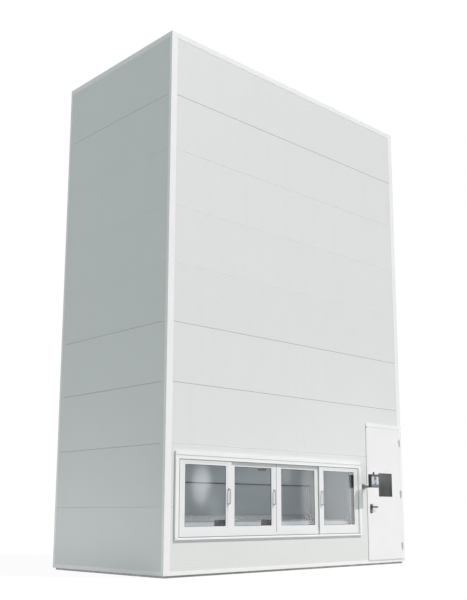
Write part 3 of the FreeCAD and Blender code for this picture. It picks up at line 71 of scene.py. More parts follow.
# %% Camera
photo_wide, photo_high = 467, 600
sensor = 36
focal_pixels = 878.5
aim_x, aim_y = 244.6, 343.8
pitch, yaw = math.radians(10.929), math.radians(44.026)

camera_data = bpy.data.cameras.new("camera")
camera_data.sensor_width = sensor
camera_data.lens = focal_pixels * sensor / photo_high
camera_data.shift_x = (photo_wide / 2 - aim_x) / photo_high
camera_data.shift_y = (aim_y - photo_high / 2) / photo_high
camera_data.clip_end = 500
camera_place = (-11.948, -12.500, 0.990)
camera = put_in_scene("camera", camera_data, (math.pi / 2 + pitch, 0, -yaw), camera_place)
bpy.context.scene.camera = camera
print("lens", round(camera_data.lens, 2), "mm")

# %% [markdown]
# ## Tools for finishes
# Every finish below is a Principled shader fed by patterns. The patterns read Object coordinates, which
# are metres on the object itself, so a grain keeps its real size and rides along when a part moves. These
# few helpers keep each finish short: a noise, a range, a blend of two colours, and a bump. The studio's
# world and floor use some of them too.


# %% Start a finish
def start_finish(name, metallic=0.0):
    """A new material, with its node tree, its shader and the place on the object."""
    material = bpy.data.materials.new(name)
    material.use_nodes = True
    tree = material.node_tree
    shader = tree.nodes["Principled BSDF"]
    shader.inputs["Metallic"].default_value = metallic
    place = tree.nodes.new("ShaderNodeTexCoord").outputs["Object"]
    print("finish", name)
    return material, tree, shader, place


def feed(tree, shader, colour, roughness):
    """Connects a colour and a roughness to the shader; both are sockets."""
    tree.links.new(colour, shader.inputs["Base Color"])
    tree.links.new(roughness, shader.inputs["Roughness"])


# %% Noise
def noise(tree, place, scale, detail=2.0, stretch=(1, 1, 1)):
    """Soft noise: scale is how many blobs fit in a metre, stretch squeezes it along x, y and z."""
    mapping = tree.nodes.new("ShaderNodeMapping")
    mapping.inputs["Scale"].default_value = stretch
    texture = tree.nodes.new("ShaderNodeTexNoise")
    texture.inputs["Scale"].default_value = scale
    texture.inputs["Detail"].default_value = detail
    tree.links.new(place, mapping.inputs["Vector"])
    tree.links.new(mapping.outputs[0], texture.inputs["Vector"])
    return texture.outputs["Fac"]


# %% Sums, ranges and colours
def combine(tree, operation, first, second):
    """One Math node: first is a socket, second a socket or a number."""
    node = tree.nodes.new("ShaderNodeMath")
    node.operation = operation
    tree.links.new(first, node.inputs[0])
    if isinstance(second, (int, float)):
        node.inputs[1].default_value = second
    else:
        tree.links.new(second, node.inputs[1])
    return node.outputs[0]


def spread(tree, value, low, high, from_low=0.3, from_high=0.7):
    """Maps the useful part of a noise to the range from low to high."""
    node = tree.nodes.new("ShaderNodeMapRange")
    node.inputs["From Min"].default_value = from_low
    node.inputs["From Max"].default_value = from_high
    node.inputs["To Min"].default_value = low
    node.inputs["To Max"].default_value = high
    tree.links.new(value, node.inputs["Value"])
    return node.outputs[0]


def coordinate(tree, place, axis):
    """One coordinate of the place: X, Y or Z."""
    split = tree.nodes.new("ShaderNodeSeparateXYZ")
    tree.links.new(place, split.inputs[0])
    return split.outputs[axis]


def ripple(tree, value, pitch):
    """A sine along a coordinate, one wave every pitch."""
    return combine(tree, "SINE", combine(tree, "MULTIPLY", value, 2 * math.pi / pitch), 0.0)


def blend_colours(tree, amount, first, second):
    """Goes from the first colour to the second; each is a colour socket or three numbers."""
    node = tree.nodes.new("ShaderNodeMix")
    node.data_type = "RGBA"
    tree.links.new(amount, node.inputs[0])
    for socket, colour in ((node.inputs[6], first), (node.inputs[7], second)):
        if isinstance(colour, tuple):
            socket.default_value = (*colour, 1)
        else:
            tree.links.new(colour, socket)
    return node.outputs[2]


def shade_of(colour, factor):
    """The same colour, lighter or darker."""
    return tuple(min(1.0, channel * factor) for channel in colour)


# %% Bump
def add_bump(tree, shader, height, depth, strength=1.0):
    """Presses a height pattern into the surface, on top of any bump that is there already."""
    bump = tree.nodes.new("ShaderNodeBump")
    bump.inputs["Strength"].default_value = strength
    bump.inputs["Distance"].default_value = depth
    tree.links.new(height, bump.inputs["Height"])
    normal = shader.inputs["Normal"]
    if normal.is_linked:
        tree.links.new(normal.links[0].from_socket, bump.inputs["Normal"])
    tree.links.new(bump.outputs[0], normal)


# %% [markdown]
# ## Light
# One sun stands high on the right in front and draws narrow shadows under every edge. A pale world fills
# the shade, and a soft reflector near the ground on the left lifts the foot of the side wall, as a bright
# yard would. The camera, and anything that mirrors, sees the world as plain white: Light Path tells the
# world which rays are asking, so the background stays white and doesn't light the walls more.

# %% Sun
sun_data = bpy.data.lights.new("sun", "SUN")
sun_data.energy = 2.98
sun_data.angle = math.radians(1.4)
sun_data.color = (1.0, 0.905, 0.900)
sun_travel = Vector((-0.66, 1.0, -1.55))
put_in_scene("sun", sun_data, sun_travel.to_track_quat("-Z", "Y").to_euler())
bpy.context.scene.view_settings.view_transform = "Standard"

# %% Reflector
sheet_data = bpy.data.lights.new("low_reflector", "AREA")
sheet_data.shape = "RECTANGLE"
sheet_data.size = 8.0
sheet_data.size_y = 0.6
sheet_data.energy = 28
sheet_data.color = (1.0, 0.95, 0.96)
towards_wall = (math.radians(90), 0, math.radians(-90))
reflector = put_in_scene("low_reflector", sheet_data, towards_wall, (-5.6, 3.2, 0.35))
reflector.visible_camera = False


# %% World
def seen_directly(tree):
    """1 for the camera, for mirrors and for glass, 0 for light that falls on a surface."""
    path = tree.nodes.new("ShaderNodeLightPath")
    total = path.outputs["Is Camera Ray"]
    for name in ("Is Glossy Ray", "Is Transmission Ray"):
        total = combine(tree, "MAXIMUM", total, path.outputs[name])
    return total


def mix_by(tree, share, first, second, output):
    """Blends two shaders, with a socket as the second one's share, and feeds the output node."""
    choose = tree.nodes.new("ShaderNodeMixShader")
    tree.links.new(share, choose.inputs[0])
    tree.links.new(first.outputs[0], choose.inputs[1])
    tree.links.new(second.outputs[0], choose.inputs[2])
    tree.links.new(choose.outputs[0], tree.nodes[output].inputs["Surface"])


world = bpy.data.worlds.new("studio")
bpy.context.scene.world = world
world.use_nodes = True
tree = world.node_tree
fill = tree.nodes["Background"]
fill.inputs["Color"].default_value = (0.85, 0.99, 1.0, 1)
fill.inputs["Strength"].default_value = 0.5
white = tree.nodes.new("ShaderNodeBackground")
white.inputs["Color"].default_value = (1, 1, 1, 1)
mix_by(tree, seen_directly(tree), fill, white, "World Output")
print("world fills the shade with", fill.inputs["Strength"].default_value)

# %% [markdown]
# ## Floor
# The floor is a wide pale sheet. Most of what the camera sees of it is plain white, so it runs into the
# background with no edge, and the rest is an ordinary surface that takes the object's soft shadow.


# %% Floor
def deselect_all():
    """An operator acts on all that is selected, so we start with nothing selected."""
    bpy.ops.object.select_all(action="DESELECT")


floor_size = 160
floor_white = 0.88
deselect_all()
bpy.ops.mesh.primitive_grid_add(x_subdivisions=4, y_subdivisions=4, size=floor_size)
floor = bpy.context.object
floor.name = "studio_floor"
floor_paint, tree, matt = start_finish("studio_floor")[:3]
matt.inputs["Base Color"].default_value = (0.46, 0.46, 0.45, 1)
matt.inputs["Roughness"].default_value = 0.9
glow = tree.nodes.new("ShaderNodeEmission")
glow.inputs["Strength"].default_value = 1.06
mix_by(tree, combine(tree, "MULTIPLY", seen_directly(tree), floor_white), matt, glow, "Material Output")
floor.data.materials.append(floor_paint)
print("floor", floor_size, "m wide")

# %% [markdown]
# ## Soft boxes
# Glass shows what stands in front of it. Here that is a yard with a few bright places, so soft boxes stand
# out there. They glow towards mirrors only: the camera doesn't see them, and they cast no light or shadow
# on the walls. Each one fades towards its rim, by a spherical gradient on its own coordinates.


# %% Soft boxes
def add_soft_box(name, middle, half_wide, half_high, radiance):
    """An upright glowing sheet that faces the window and fades towards its rim."""
    deselect_all()
    bpy.ops.mesh.primitive_plane_add(size=2, location=middle, rotation=(math.pi / 2, 0, 0))
    box = bpy.context.object
    box.name = name
    box.scale = (half_wide, half_high, 1)
    glow_paint, tree, shader, place = start_finish(name)
    tree.nodes.remove(shader)
    fade = tree.nodes.new("ShaderNodeTexGradient")
    fade.gradient_type = "SPHERICAL"
    level = tree.nodes.new("ShaderNodeMapRange")
    level.interpolation_type = "SMOOTHSTEP"
    level.inputs["From Max"].default_value = 0.75
    level.inputs["To Max"].default_value = radiance
    glow = tree.nodes.new("ShaderNodeEmission")
    clear = tree.nodes.new("ShaderNodeBsdfTransparent")
    both = tree.nodes.new("ShaderNodeAddShader")
    tree.links.new(place, fade.inputs[0])
    tree.links.new(fade.outputs["Fac"], level.inputs["Value"])
    tree.links.new(level.outputs[0], glow.inputs["Strength"])
    tree.links.new(glow.outputs[0], both.inputs[0])
    tree.links.new(clear.outputs[0], both.inputs[1])
    tree.links.new(both.outputs[0], tree.nodes["Material Output"].inputs["Surface"])
    box.data.materials.append(glow_paint)
    box.visible_camera = False
    box.visible_diffuse = False
    box.visible_transmission = False
    box.visible_shadow = False


soft_box_y = -6.0
add_soft_box("soft_box_round", (1.50, soft_box_y, 1.64), 0.42, 0.62, 6.2)
add_soft_box("soft_box_small", (1.90, soft_box_y, 1.12), 0.30, 0.45, 1.3)
add_soft_box("soft_box_upper", (3.50, soft_box_y, 1.90), 1.10, 0.42, 0.8)
add_soft_box("soft_box_column", (5.22, soft_box_y, 1.45), 0.40, 2.60, 4.0)
add_soft_box("soft_box_wide", (6.60, soft_box_y, 1.40), 1.90, 3.40, 3.0)
add_soft_box("soft_box_spot", (4.40, soft_box_y, 1.97), 0.30, 0.36, 1.8)

# %% [markdown]
# ## Coated wall sheet
# The walls are steel sheet, coated in a coil line and pressed with fine ribs that run along each panel.
# The ribs are a sine of the height, or of the depth on the roof, pressed in by less than a millimetre.
# Each row of panels comes from another coil, so its tone differs by up to two percent, which we get from
# a random value per row. Rain leaves faint upright streaks, and splashes leave a little dust at the foot.

# %% Coated wall sheet
panel_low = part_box("front_wall_panels")[0].z
panel_pitch = 1.0
rib_pitch = 0.05
wall_grey = (0.708, 0.738, 0.732)
dust_grey = (0.69, 0.69, 0.675)
dust_top = 0.55


def ribbed_sheet(name, colour, rib_axis):
    """Coated steel with fine ribs: rib_axis is the coordinate, Y or Z, that crosses the ribs."""
    material, tree, shader, place = start_finish(name)
    across = coordinate(tree, place, rib_axis)
    row = combine(tree, "FLOOR", combine(tree, "SUBTRACT", across, panel_low), 0.0)
    coil = tree.nodes.new("ShaderNodeTexWhiteNoise")
    coil.noise_dimensions = "1D"
    tree.links.new(row, coil.inputs["W"])
    coil_tone = spread(tree, coil.outputs["Value"], 0.0, 1.0, 0.0, 1.0)

    clouds = noise(tree, place, 0.6, 4.0)
    streaks = noise(tree, place, 1.0, 3.0, (9, 9, 0.35))
    base = blend_colours(tree, coil_tone, shade_of(colour, 0.988), shade_of(colour, 1.006))
    soft = blend_colours(tree, spread(tree, clouds, 0.0, 0.5), base, shade_of(colour, 0.975))
    rain = spread(tree, streaks, 0.0, 0.35, 0.45, 0.75)
    lined = blend_colours(tree, rain, soft, shade_of(colour, 0.955))
    low_wall = spread(tree, coordinate(tree, place, "Z"), 0.30, 0.0, panel_low, dust_top)
    dust = combine(tree, "MULTIPLY", low_wall, spread(tree, noise(tree, place, 6, 5.0), 0.2, 1.0))
    grain = noise(tree, place, 260, 2.0)
    feed(tree, shader, blend_colours(tree, dust, lined, dust_grey), spread(tree, grain, 0.40, 0.52))

    add_bump(tree, shader, ripple(tree, across, rib_pitch), 0.00018)
    add_bump(tree, shader, noise(tree, place, 2.2, 2.0), 0.004, 0.4)
    add_bump(tree, shader, grain, 0.0002, 0.5)
    return material


wall_sheet = ribbed_sheet("coated_wall_sheet", wall_grey, "Z")
roof_sheet = ribbed_sheet("coated_roof_sheet", wall_grey, "Y")
print("wall sheet ribs every", rib_pitch, "m")


# %% [markdown]
# ## Paint
# Most other steel on this machine is painted or powder coated. One function makes them all from the
# colour, the gloss, how coarse the orange peel is and how much the part has been handled: scuffs darken a
# pale colour, lighten a dark one, and dull both in small patches.

# %% Paint
def paint(name, colour, gloss=0.35, peel=320, peel_depth=0.00025, scuffs=0.3, coat=0.0):
    """Powder coat or paint, with orange peel, cloudy tone and small scuffs."""
    material, tree, shader, place = start_finish(name)
    clouds = spread(tree, noise(tree, place, 1.7, 3.0), 0.0, 1.0)
    tone = blend_colours(tree, clouds, shade_of(colour, 0.975), shade_of(colour, 1.012))
    wear = spread(tree, noise(tree, place, 38, 6.0), 0.0, scuffs, 0.58, 0.75)
    pale = sum(colour) > 1.2
    worn = blend_colours(tree, wear, tone, shade_of(colour, 0.88 if pale else 1.35))
    skin = noise(tree, place, peel, 1.0)
    roughness = combine(tree, "ADD", spread(tree, skin, gloss, gloss + 0.08),
                        combine(tree, "MULTIPLY", wear, 0.3))
    feed(tree, shader, worn, roughness)
    shader.inputs["Coat Weight"].default_value = coat
    add_bump(tree, shader, skin, peel_depth)
    return material


white_trim = paint("white_trim_coat", (0.835, 0.852, 0.850), gloss=0.34, peel=180, scuffs=0.12)
door_coat = paint("door_powder_coat", (0.815, 0.830, 0.832), gloss=0.42, peel=420, scuffs=0.10)
sash_coat = paint("sash_powder_coat", (0.780, 0.796, 0.808), gloss=0.36, peel=500, scuffs=0.10)
track_coat = paint("track_coat", (0.80, 0.81, 0.81), gloss=0.40, peel=500, scuffs=0.25)
hinge_coat = paint("hinge_coat", (0.74, 0.75, 0.75), gloss=0.38, peel=600, scuffs=0.2)
pull_coat = paint("pull_coat", (0.44, 0.45, 0.46), gloss=0.33, peel=600, scuffs=0.25)
arm_coat = paint("console_arm_coat", (0.30, 0.32, 0.32), gloss=0.40, peel=700, scuffs=0.3)
frame_paint = paint("frame_paint", (0.30, 0.33, 0.36), gloss=0.40, peel=140, scuffs=0.5)
carriage_paint = paint("carriage_paint", (0.16, 0.17, 0.18), gloss=0.42, peel=140, scuffs=0.5)
cabinet_coat = paint("cabinet_coat", (0.57, 0.58, 0.56), gloss=0.45, peel=520, peel_depth=0.0004)
motor_coat = paint("motor_coat", (0.05, 0.12, 0.26), gloss=0.30, peel=90, scuffs=0.4, coat=0.3)
liner_coat = paint("bay_liner_coat", (0.355, 0.388, 0.424), gloss=0.40, peel=420, scuffs=0.2)
joint_sealant = paint("joint_sealant", wall_grey, gloss=0.5, peel=300, scuffs=0.05)
barrier_coat = paint("light_barrier_coat", (0.84, 0.86, 0.88), gloss=0.35, peel=600, scuffs=0.1)


# %% [markdown]
# ## Metal
# Bare steel and aluminium differ in how they were worked. Turned and drawn parts have fine lines along
# one direction, so their noise is stretched. Galvanised sheet has spangle, the flat crystals that zinc
# forms as it cools, and a Voronoi pattern gives just that: patches with sharp borders, each its own grey.

# %% Drawn and turned metal
def drawn_metal(name, colour, gloss, stretch, grain=260):
    """Bare metal with fine lines: stretch is small along the lines and 1 across them."""
    material, tree, shader, place = start_finish(name, metallic=1.0)
    lines = noise(tree, place, grain, 3.0, stretch)
    clouds = noise(tree, place, 5, 3.0)
    tone = blend_colours(tree, spread(tree, clouds, 0.0, 1.0), shade_of(colour, 0.92), colour)
    worked = blend_colours(tree, spread(tree, lines, 0.0, 0.4), tone, shade_of(colour, 0.8))
    feed(tree, shader, worked, spread(tree, lines, gloss, gloss + 0.14))
    add_bump(tree, shader, lines, 0.0001, 0.5)
    return material


turned_steel = drawn_metal("turned_steel", (0.62, 0.63, 0.65), 0.22, (0.05, 1, 1))
drawn_aluminium = drawn_metal("drawn_aluminium", (0.80, 0.81, 0.82), 0.32, (1, 1, 0.04))


# %% Galvanised sheet
def galvanised(name, colour, spangle=38):
    """Zinc-coated sheet; spangle is how many crystals fit in a metre."""
    material, tree, shader, place = start_finish(name, metallic=0.85)
    crystals = tree.nodes.new("ShaderNodeTexVoronoi")
    crystals.inputs["Scale"].default_value = spangle
    tree.links.new(place, crystals.inputs["Vector"])
    split = tree.nodes.new("ShaderNodeSeparateColor")
    tree.links.new(crystals.outputs["Color"], split.inputs[0])
    tone = blend_colours(tree, split.outputs[0], shade_of(colour, 0.82), shade_of(colour, 1.06))
    stain = spread(tree, noise(tree, place, 2.5, 5.0), 0.0, 0.4, 0.5, 0.8)
    stained = blend_colours(tree, stain, tone, (0.42, 0.42, 0.41))
    feed(tree, shader, stained, spread(tree, split.outputs[1], 0.34, 0.52, 0.0, 1.0))
    add_bump(tree, shader, crystals.outputs["Distance"], 0.0003, 0.3)
    return material


zinc_sheet = galvanised("galvanised_sheet", (0.66, 0.68, 0.69))
zinc_plinth = galvanised("galvanised_plinth", (0.26, 0.26, 0.26), 20)


# %% [markdown]
# ## Plastic and rubber
# Moulded plastic takes the fine leather-like texture of its mould, and rubber is darker and duller, with
# a bloom of grey in patches.

# %% Plastic and rubber
def moulded(name, colour, gloss, grain=900, depth=0.0002, bloom=0.15):
    """Plastic or rubber, with the mould's texture and a patchy bloom."""
    material, tree, shader, place = start_finish(name)
    patches = spread(tree, noise(tree, place, 22, 5.0), 0.0, bloom, 0.45, 0.75)
    lighter = tuple(channel + 0.06 for channel in colour)
    bloomed = blend_colours(tree, patches, colour, lighter)
    skin = noise(tree, place, grain, 2.0)
    feed(tree, shader, bloomed, spread(tree, skin, gloss, gloss + 0.12))
    add_bump(tree, shader, skin, depth)
    return material


black_plastic = moulded("black_plastic", (0.016, 0.017, 0.018), 0.34)
console_plastic = moulded("console_plastic", (0.040, 0.044, 0.047), 0.42)
seal_rubber = moulded("seal_rubber", (0.018, 0.018, 0.019), 0.62, 500, 0.0003, 0.4)
grey_rubber = moulded("grey_rubber", (0.16, 0.165, 0.17), 0.60, 500, 0.0003, 0.3)
belt_rubber = moulded("belt_rubber", (0.030, 0.030, 0.032), 0.60, 300, 0.0006, 0.5)
joint_gasket = moulded("joint_gasket", (0.43, 0.44, 0.44), 0.60, 500, 0.0003, 0.3)
shoe_plastic = moulded("shoe_plastic", (0.10, 0.22, 0.14), 0.45, 400)


# %% [markdown]
# ## Glass
# Clear glass lets light through and mirrors a little of it, with a faint green from the iron in it. Dust
# and hand marks change only its roughness. The vision panel in the door is a dark, coated glass, so it
# is made as a glossy dark surface, whose lower part is darker than its upper part: a painted reflection
# in its colour. The screen's glass has a faint painted reflection of the same kind. Lamp covers and the
# tiles on the screen glow a little, so they keep their colour in the shade.

# %% Clear glass
def clear_glass(name, tint):
    """Float glass with a trace of dust."""
    material, tree, shader, place = start_finish(name)
    shader.inputs["Base Color"].default_value = (*tint, 1)
    shader.inputs["Transmission Weight"].default_value = 1.0
    shader.inputs["IOR"].default_value = 1.45
    marks = spread(tree, noise(tree, place, 3.5, 6.0), 0.0, 0.05, 0.5, 0.8)
    tree.links.new(marks, shader.inputs["Roughness"])
    return material


pane_glass = clear_glass("window_glass", (0.90, 0.95, 0.94))


# %% Dark glass
def dark_glass(name, top, foot, z_foot, z_top, coat=0.4):
    """Coated glass whose colour goes from one dark tone at the foot to another at the top, as a painted
    reflection.
    """
    material, tree, shader, place = start_finish(name)
    # Painted reflection: the colour changes with the height, from the foot's tone to the top's.
    height = spread(tree, coordinate(tree, place, "Z"), 0.0, 1.0, z_foot, z_top)
    smears = noise(tree, place, 9, 5.0, (1, 1, 0.4))
    tone = blend_colours(tree, height, foot, top)
    smeared = blend_colours(tree, spread(tree, smears, 0.0, 0.3), tone, shade_of(top, 1.2))
    feed(tree, shader, smeared, spread(tree, smears, 0.04, 0.14))
    shader.inputs["Coat Weight"].default_value = coat
    return material


# The vision panel is lighter at the top than at the foot: painted reflection.
vision_glass_painted_reflection = dark_glass("vision_glass_painted_reflection", (0.075, 0.082, 0.080), (0.006, 0.009, 0.008),
                          z_foot=1.49, z_top=1.69, coat=0.0)
screen_low, screen_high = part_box("console_screen")
# The screen's glass is a little lighter at the top: painted reflection.
screen_glass = dark_glass("screen_glass", (0.03, 0.035, 0.04), (0.02, 0.02, 0.025),
                          screen_low.z, screen_high.z)


# %% Lamp covers, screen tiles and barrier lenses
def glowing(name, colour, strength, ribs_per_metre=0):
    """A lamp's cover: it glows, unevenly, and may have fine ribs moulded round it."""
    material, tree, shader, place = start_finish(name)
    patches = noise(tree, place, 14, 2.0)
    tone = blend_colours(tree, spread(tree, patches, 0.0, 1.0), shade_of(colour, 0.85), colour)
    feed(tree, shader, tone, spread(tree, patches, 0.2, 0.35))
    tree.links.new(tone, shader.inputs["Emission Color"])
    shader.inputs["Emission Strength"].default_value = strength
    if ribs_per_metre:
        add_bump(tree, shader, ripple(tree, coordinate(tree, place, "Z"), 1 / ribs_per_metre), 0.0008)
    return material


lamp_lens = glowing("status_lamp_lens", (0.010, 0.10, 0.10), 0.15, 220)
bay_lamp = glowing("bay_lamp_cover", (0.92, 0.96, 1.0), 4.0)
tile_pale = glowing("screen_pale_blue", (0.33, 0.40, 0.42), 0.30)
tile_white = glowing("screen_white", (0.42, 0.44, 0.46), 0.34)
tile_teal = glowing("screen_teal", (0.17, 0.25, 0.25), 0.42)
tile_deep = glowing("screen_deep_teal", (0.03, 0.075, 0.078), 0.35)
lens_grey = (0.62, 0.64, 0.66)
lens_glass = dark_glass("barrier_lens", lens_grey, lens_grey, z_foot=0.5, z_top=1.9)

# %% [markdown]
# ## Dress the model
# Each finish goes onto the parts that have it in real life. A loaded part brings a plain material with
# it, so its slots are cleared first. The last lines make sure that no part was forgotten.

# %% Dress the model
sashes = ("left_outer", "left_inner", "right_inner", "right_outer")
finish_of = {
    wall_sheet: ("front_wall_panels", "side_wall_panels", "rear_wall_panels"),
    roof_sheet: ("roof_panels",),
    white_trim: ("edge_trims", "window_casing", "door_frame"),
    barrier_coat: ("light_barriers",),
    sash_coat: ["sash_" + sash for sash in sashes],
    liner_coat: ("bay_liner", "bay_shutter"),
    door_coat: ("door_leaf",),
    track_coat: ("window_tracks",),
    drawn_aluminium: ("shutter_guides",),
    zinc_plinth: ("plinth_frame", "floor_panels"),
    pane_glass: ["pane_" + sash for sash in sashes],
    vision_glass_painted_reflection: ("door_vision_panel",),
    pull_coat: ("pull_left", "pull_middle", "pull_right"),
    hinge_coat: ("hinge_frame_halves", "hinge_door_halves"),
    black_plastic: ("lever_plates", "lever_handle", "main_switch"),
    arm_coat: ("console_bracket", "console_arm"),
    console_plastic: ("console_head",),
    screen_glass: ("console_screen",),
    lamp_lens: ("status_lamp",),
    frame_paint: ("frame_beams", "uprights"),
    zinc_sheet: ("tray_rails", "front_trays", "rear_trays", "lift_tray"),
    carriage_paint: ("carriage_frame", "shaft_bearings", "transfer_motor", "idler_axles", "tray_dogs"),
    shoe_plastic: ("guide_shoes",),
    belt_rubber: ("lift_belts", "transfer_belts"),
    turned_steel: ("drive_shaft", "lift_idlers", "transfer_shaft", "transfer_idlers", "latch_bolt"),
    motor_coat: ("lift_gearmotor",),
    cabinet_coat: ("control_cabinet", "cabinet_door"),
    bay_lamp: ("bay_light",),
}
for material, names in finish_of.items():
    for name in names:
        nodes[name].data.materials.clear()
        nodes[name].data.materials.append(material)
dressed = {name for names in finish_of.values() for name in names}
print("dressed", len(dressed), "parts; forgotten:", sorted(set(nodes) - dressed))

# %% [markdown]
# ## Tools for pieces
# The pieces that the engineering model leaves out are modelled here as by hand. Each one starts as a cube
# or a cylinder at its size and place, is shaped in edit mode, and gets small bevels at the end, because a
# real edge is never sharp and a rounded one catches the light. Transforms are applied, so that the place
# of a piece is in its mesh and its grain stays put when it moves.


# %% Start a block or a rod
def settle(name):
    """Names the new primitive and moves its place and size into its mesh."""
    bpy.ops.object.transform_apply(location=True, rotation=True, scale=True)
    piece = bpy.context.object
    piece.name = name
    return piece


def add_block(name, corner, opposite):
    """A cube stretched between two opposite corners, in either order."""
    corner, opposite = Vector(corner), Vector(opposite)
    size = [abs(length) for length in opposite - corner]
    deselect_all()
    bpy.ops.mesh.primitive_cube_add(size=1, location=(corner + opposite) / 2, scale=size)
    return settle(name)


def add_rod(name, middle, radius, length, axis="z", sides=24):
    """A cylinder along an axis, given by its middle."""
    turn = {"x": (0, math.pi / 2, 0), "y": (math.pi / 2, 0, 0), "z": (0, 0, 0)}[axis]
    deselect_all()
    bpy.ops.mesh.primitive_cylinder_add(
        vertices=sides, radius=radius, depth=length, location=middle, rotation=turn)
    return settle(name)


# %% Choose and change faces
def choose_piece(piece):
    """Leaves one piece selected, so that the next tool works on it alone."""
    deselect_all()
    piece.select_set(True)
    bpy.context.view_layer.objects.active = piece


def choose_faces(piece, axis, sign, where=lambda middle: True):
    """Opens the piece in edit mode with only those faces selected that look along an axis.

    The sign is 1 for faces that look up the axis, -1 for those that look down it and 0 for both; where
    may ask more of a face's middle.
    """
    choose_piece(piece)
    bpy.ops.object.mode_set(mode="EDIT")
    bpy.ops.mesh.select_mode(type="FACE")
    bpy.ops.mesh.select_all(action="DESELECT")
    bpy.ops.object.mode_set(mode="OBJECT")
    for face in piece.data.polygons:
        along = getattr(face.normal, axis)
        looks = along * sign if sign else abs(along)
        face.select = looks > 0.9 and where(face.center)
    bpy.ops.object.mode_set(mode="EDIT")


def back_to_object():
    bpy.ops.object.mode_set(mode="OBJECT")


def push_faces(x, y, z):
    """Extrudes the chosen faces by a shift."""
    bpy.ops.mesh.extrude_region_move(TRANSFORM_OT_translate={"value": (x, y, z)})


def cut_piece(piece, normal, *points):
    """Cuts faces across the piece at each point, square to the normal; nothing comes off."""
    choose_piece(piece)
    bpy.ops.object.mode_set(mode="EDIT")
    for point in points:
        bpy.ops.mesh.select_all(action="SELECT")
        bpy.ops.mesh.bisect(plane_co=point, plane_no=normal)
    back_to_object()


# %% Round, copy, join and fit
def round_edges(piece, width, segments=2):
    """Bevels every sharp edge and shades the rest smooth, with the flat faces kept flat."""
    choose_piece(piece)
    bevel = piece.modifiers.new("edges", "BEVEL")
    bevel.width = width
    bevel.segments = segments
    bevel.limit_method = "ANGLE"
    bevel.angle_limit = math.radians(40)
    bpy.ops.object.modifier_apply(modifier=bevel.name)
    bpy.ops.object.shade_smooth_by_angle(angle=math.radians(35))
    flat = piece.modifiers.new("flat faces", "WEIGHTED_NORMAL")
    flat.keep_sharp = True
    bpy.ops.object.modifier_apply(modifier=flat.name)
    return piece


def copy_piece(piece, name, shift):
    """A copy with its own mesh, shifted."""
    choose_piece(piece)
    bpy.ops.object.duplicate(linked=False)
    bpy.ops.transform.translate(value=shift)
    return settle(name)


def repeat_piece(piece, step, count):
    """A row of the same shape in one mesh, such as a row of rivets."""
    choose_piece(piece)
    row = piece.modifiers.new("row", "ARRAY")
    row.use_relative_offset = False
    row.use_constant_offset = True
    row.constant_offset_displace = step
    row.count = count
    bpy.ops.object.modifier_apply(modifier=row.name)
    return piece


def join_pieces(name, pieces):
    """One object from several that stay together."""
    deselect_all()
    for piece in pieces:
        piece.select_set(True)
    bpy.context.view_layer.objects.active = pieces[0]
    if len(pieces) > 1:
        bpy.ops.object.join()
    pieces[0].name = name
    return pieces[0]


def fit_piece(piece, material, body, slot, *stands_for):
    """Gives the piece its finish and its body, and hides the parts that it stands for. The slot is not
    used.
    """
    piece.data.materials.clear()
    piece.data.materials.append(material)
    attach(piece, body)
    if stands_for:
        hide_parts(*stands_for)
    print(piece.name, "has", len(piece.data.polygons), "faces")
    return piece


# %% Start a flat frame
def add_ring(name, low, high, wide):
    """A flat frame in the wall's plane: front and back are inset, and bridged into an opening."""
    ring = add_block(name, low, high)
    choose_faces(ring, "y", 0)
    bpy.ops.mesh.inset(thickness=wide)
    bpy.ops.mesh.bridge_edge_loops()
    back_to_object()
    return ring


# %% [markdown]
# ## Window seals
# Each pane is held by a black rubber profile on both sides, pressed in between the glass and the bead of
# the sash. A ring of grey rubber closes the gap between the casing and the sliding sashes, and strips seal
# the stiles that meet. From a distance these seals are the thin dark lines round every sash.

# %% Panes
# Sunlight passes the panes and falls on the sill board, so they cast no shadow.
for sash in sashes:
    pane_low, pane_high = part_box("pane_" + sash)
    pane = round_edges(add_block("float_glass_" + sash, pane_low, pane_high), 0.001, 1)
    bpy.ops.object.shade_flat()
    pane.visible_shadow = False
    fit_piece(pane, pane_glass, f"sash_{sash}_unit", "window_glass", "pane_" + sash)

# %% Glazing seals
seal_wide = 0.007
glass_edge = 0.0123
for sash in sashes:
    pane_low, pane_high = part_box("pane_" + sash)
    low = (pane_low.x + glass_edge, pane_low.y - 0.0030, pane_low.z + glass_edge)
    high = (pane_high.x - glass_edge, pane_low.y - 0.0002, pane_high.z - glass_edge)
    outer_seal = round_edges(add_ring("outer", low, high, seal_wide), 0.0008)
    inner_seal = copy_piece(outer_seal, "inner", (0, pane_high.y - pane_low.y + 0.0032, 0))
    seal = join_pieces("glazing_seal_" + sash, [outer_seal, inner_seal])
    fit_piece(seal, seal_rubber, f"sash_{sash}_unit", "belt_rubber")

# %% Casing seal
outer_sash_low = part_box("sash_left_outer")[0]
outer_sash_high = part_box("sash_right_outer")[1]
casing_lip = 0.0121
side_play, head_play = 0.0027, 0.0034
low = (outer_sash_low.x - side_play, outer_sash_low.y - 0.0040, outer_sash_low.z + casing_lip)
high = (outer_sash_high.x + side_play, outer_sash_low.y - 0.0006,
        outer_sash_high.z - casing_lip + head_play)
casing_seal = round_edges(add_ring("casing_seal", low, high, 0.010), 0.001)
fit_piece(casing_seal, grey_rubber, "enclosure", "belt_rubber")

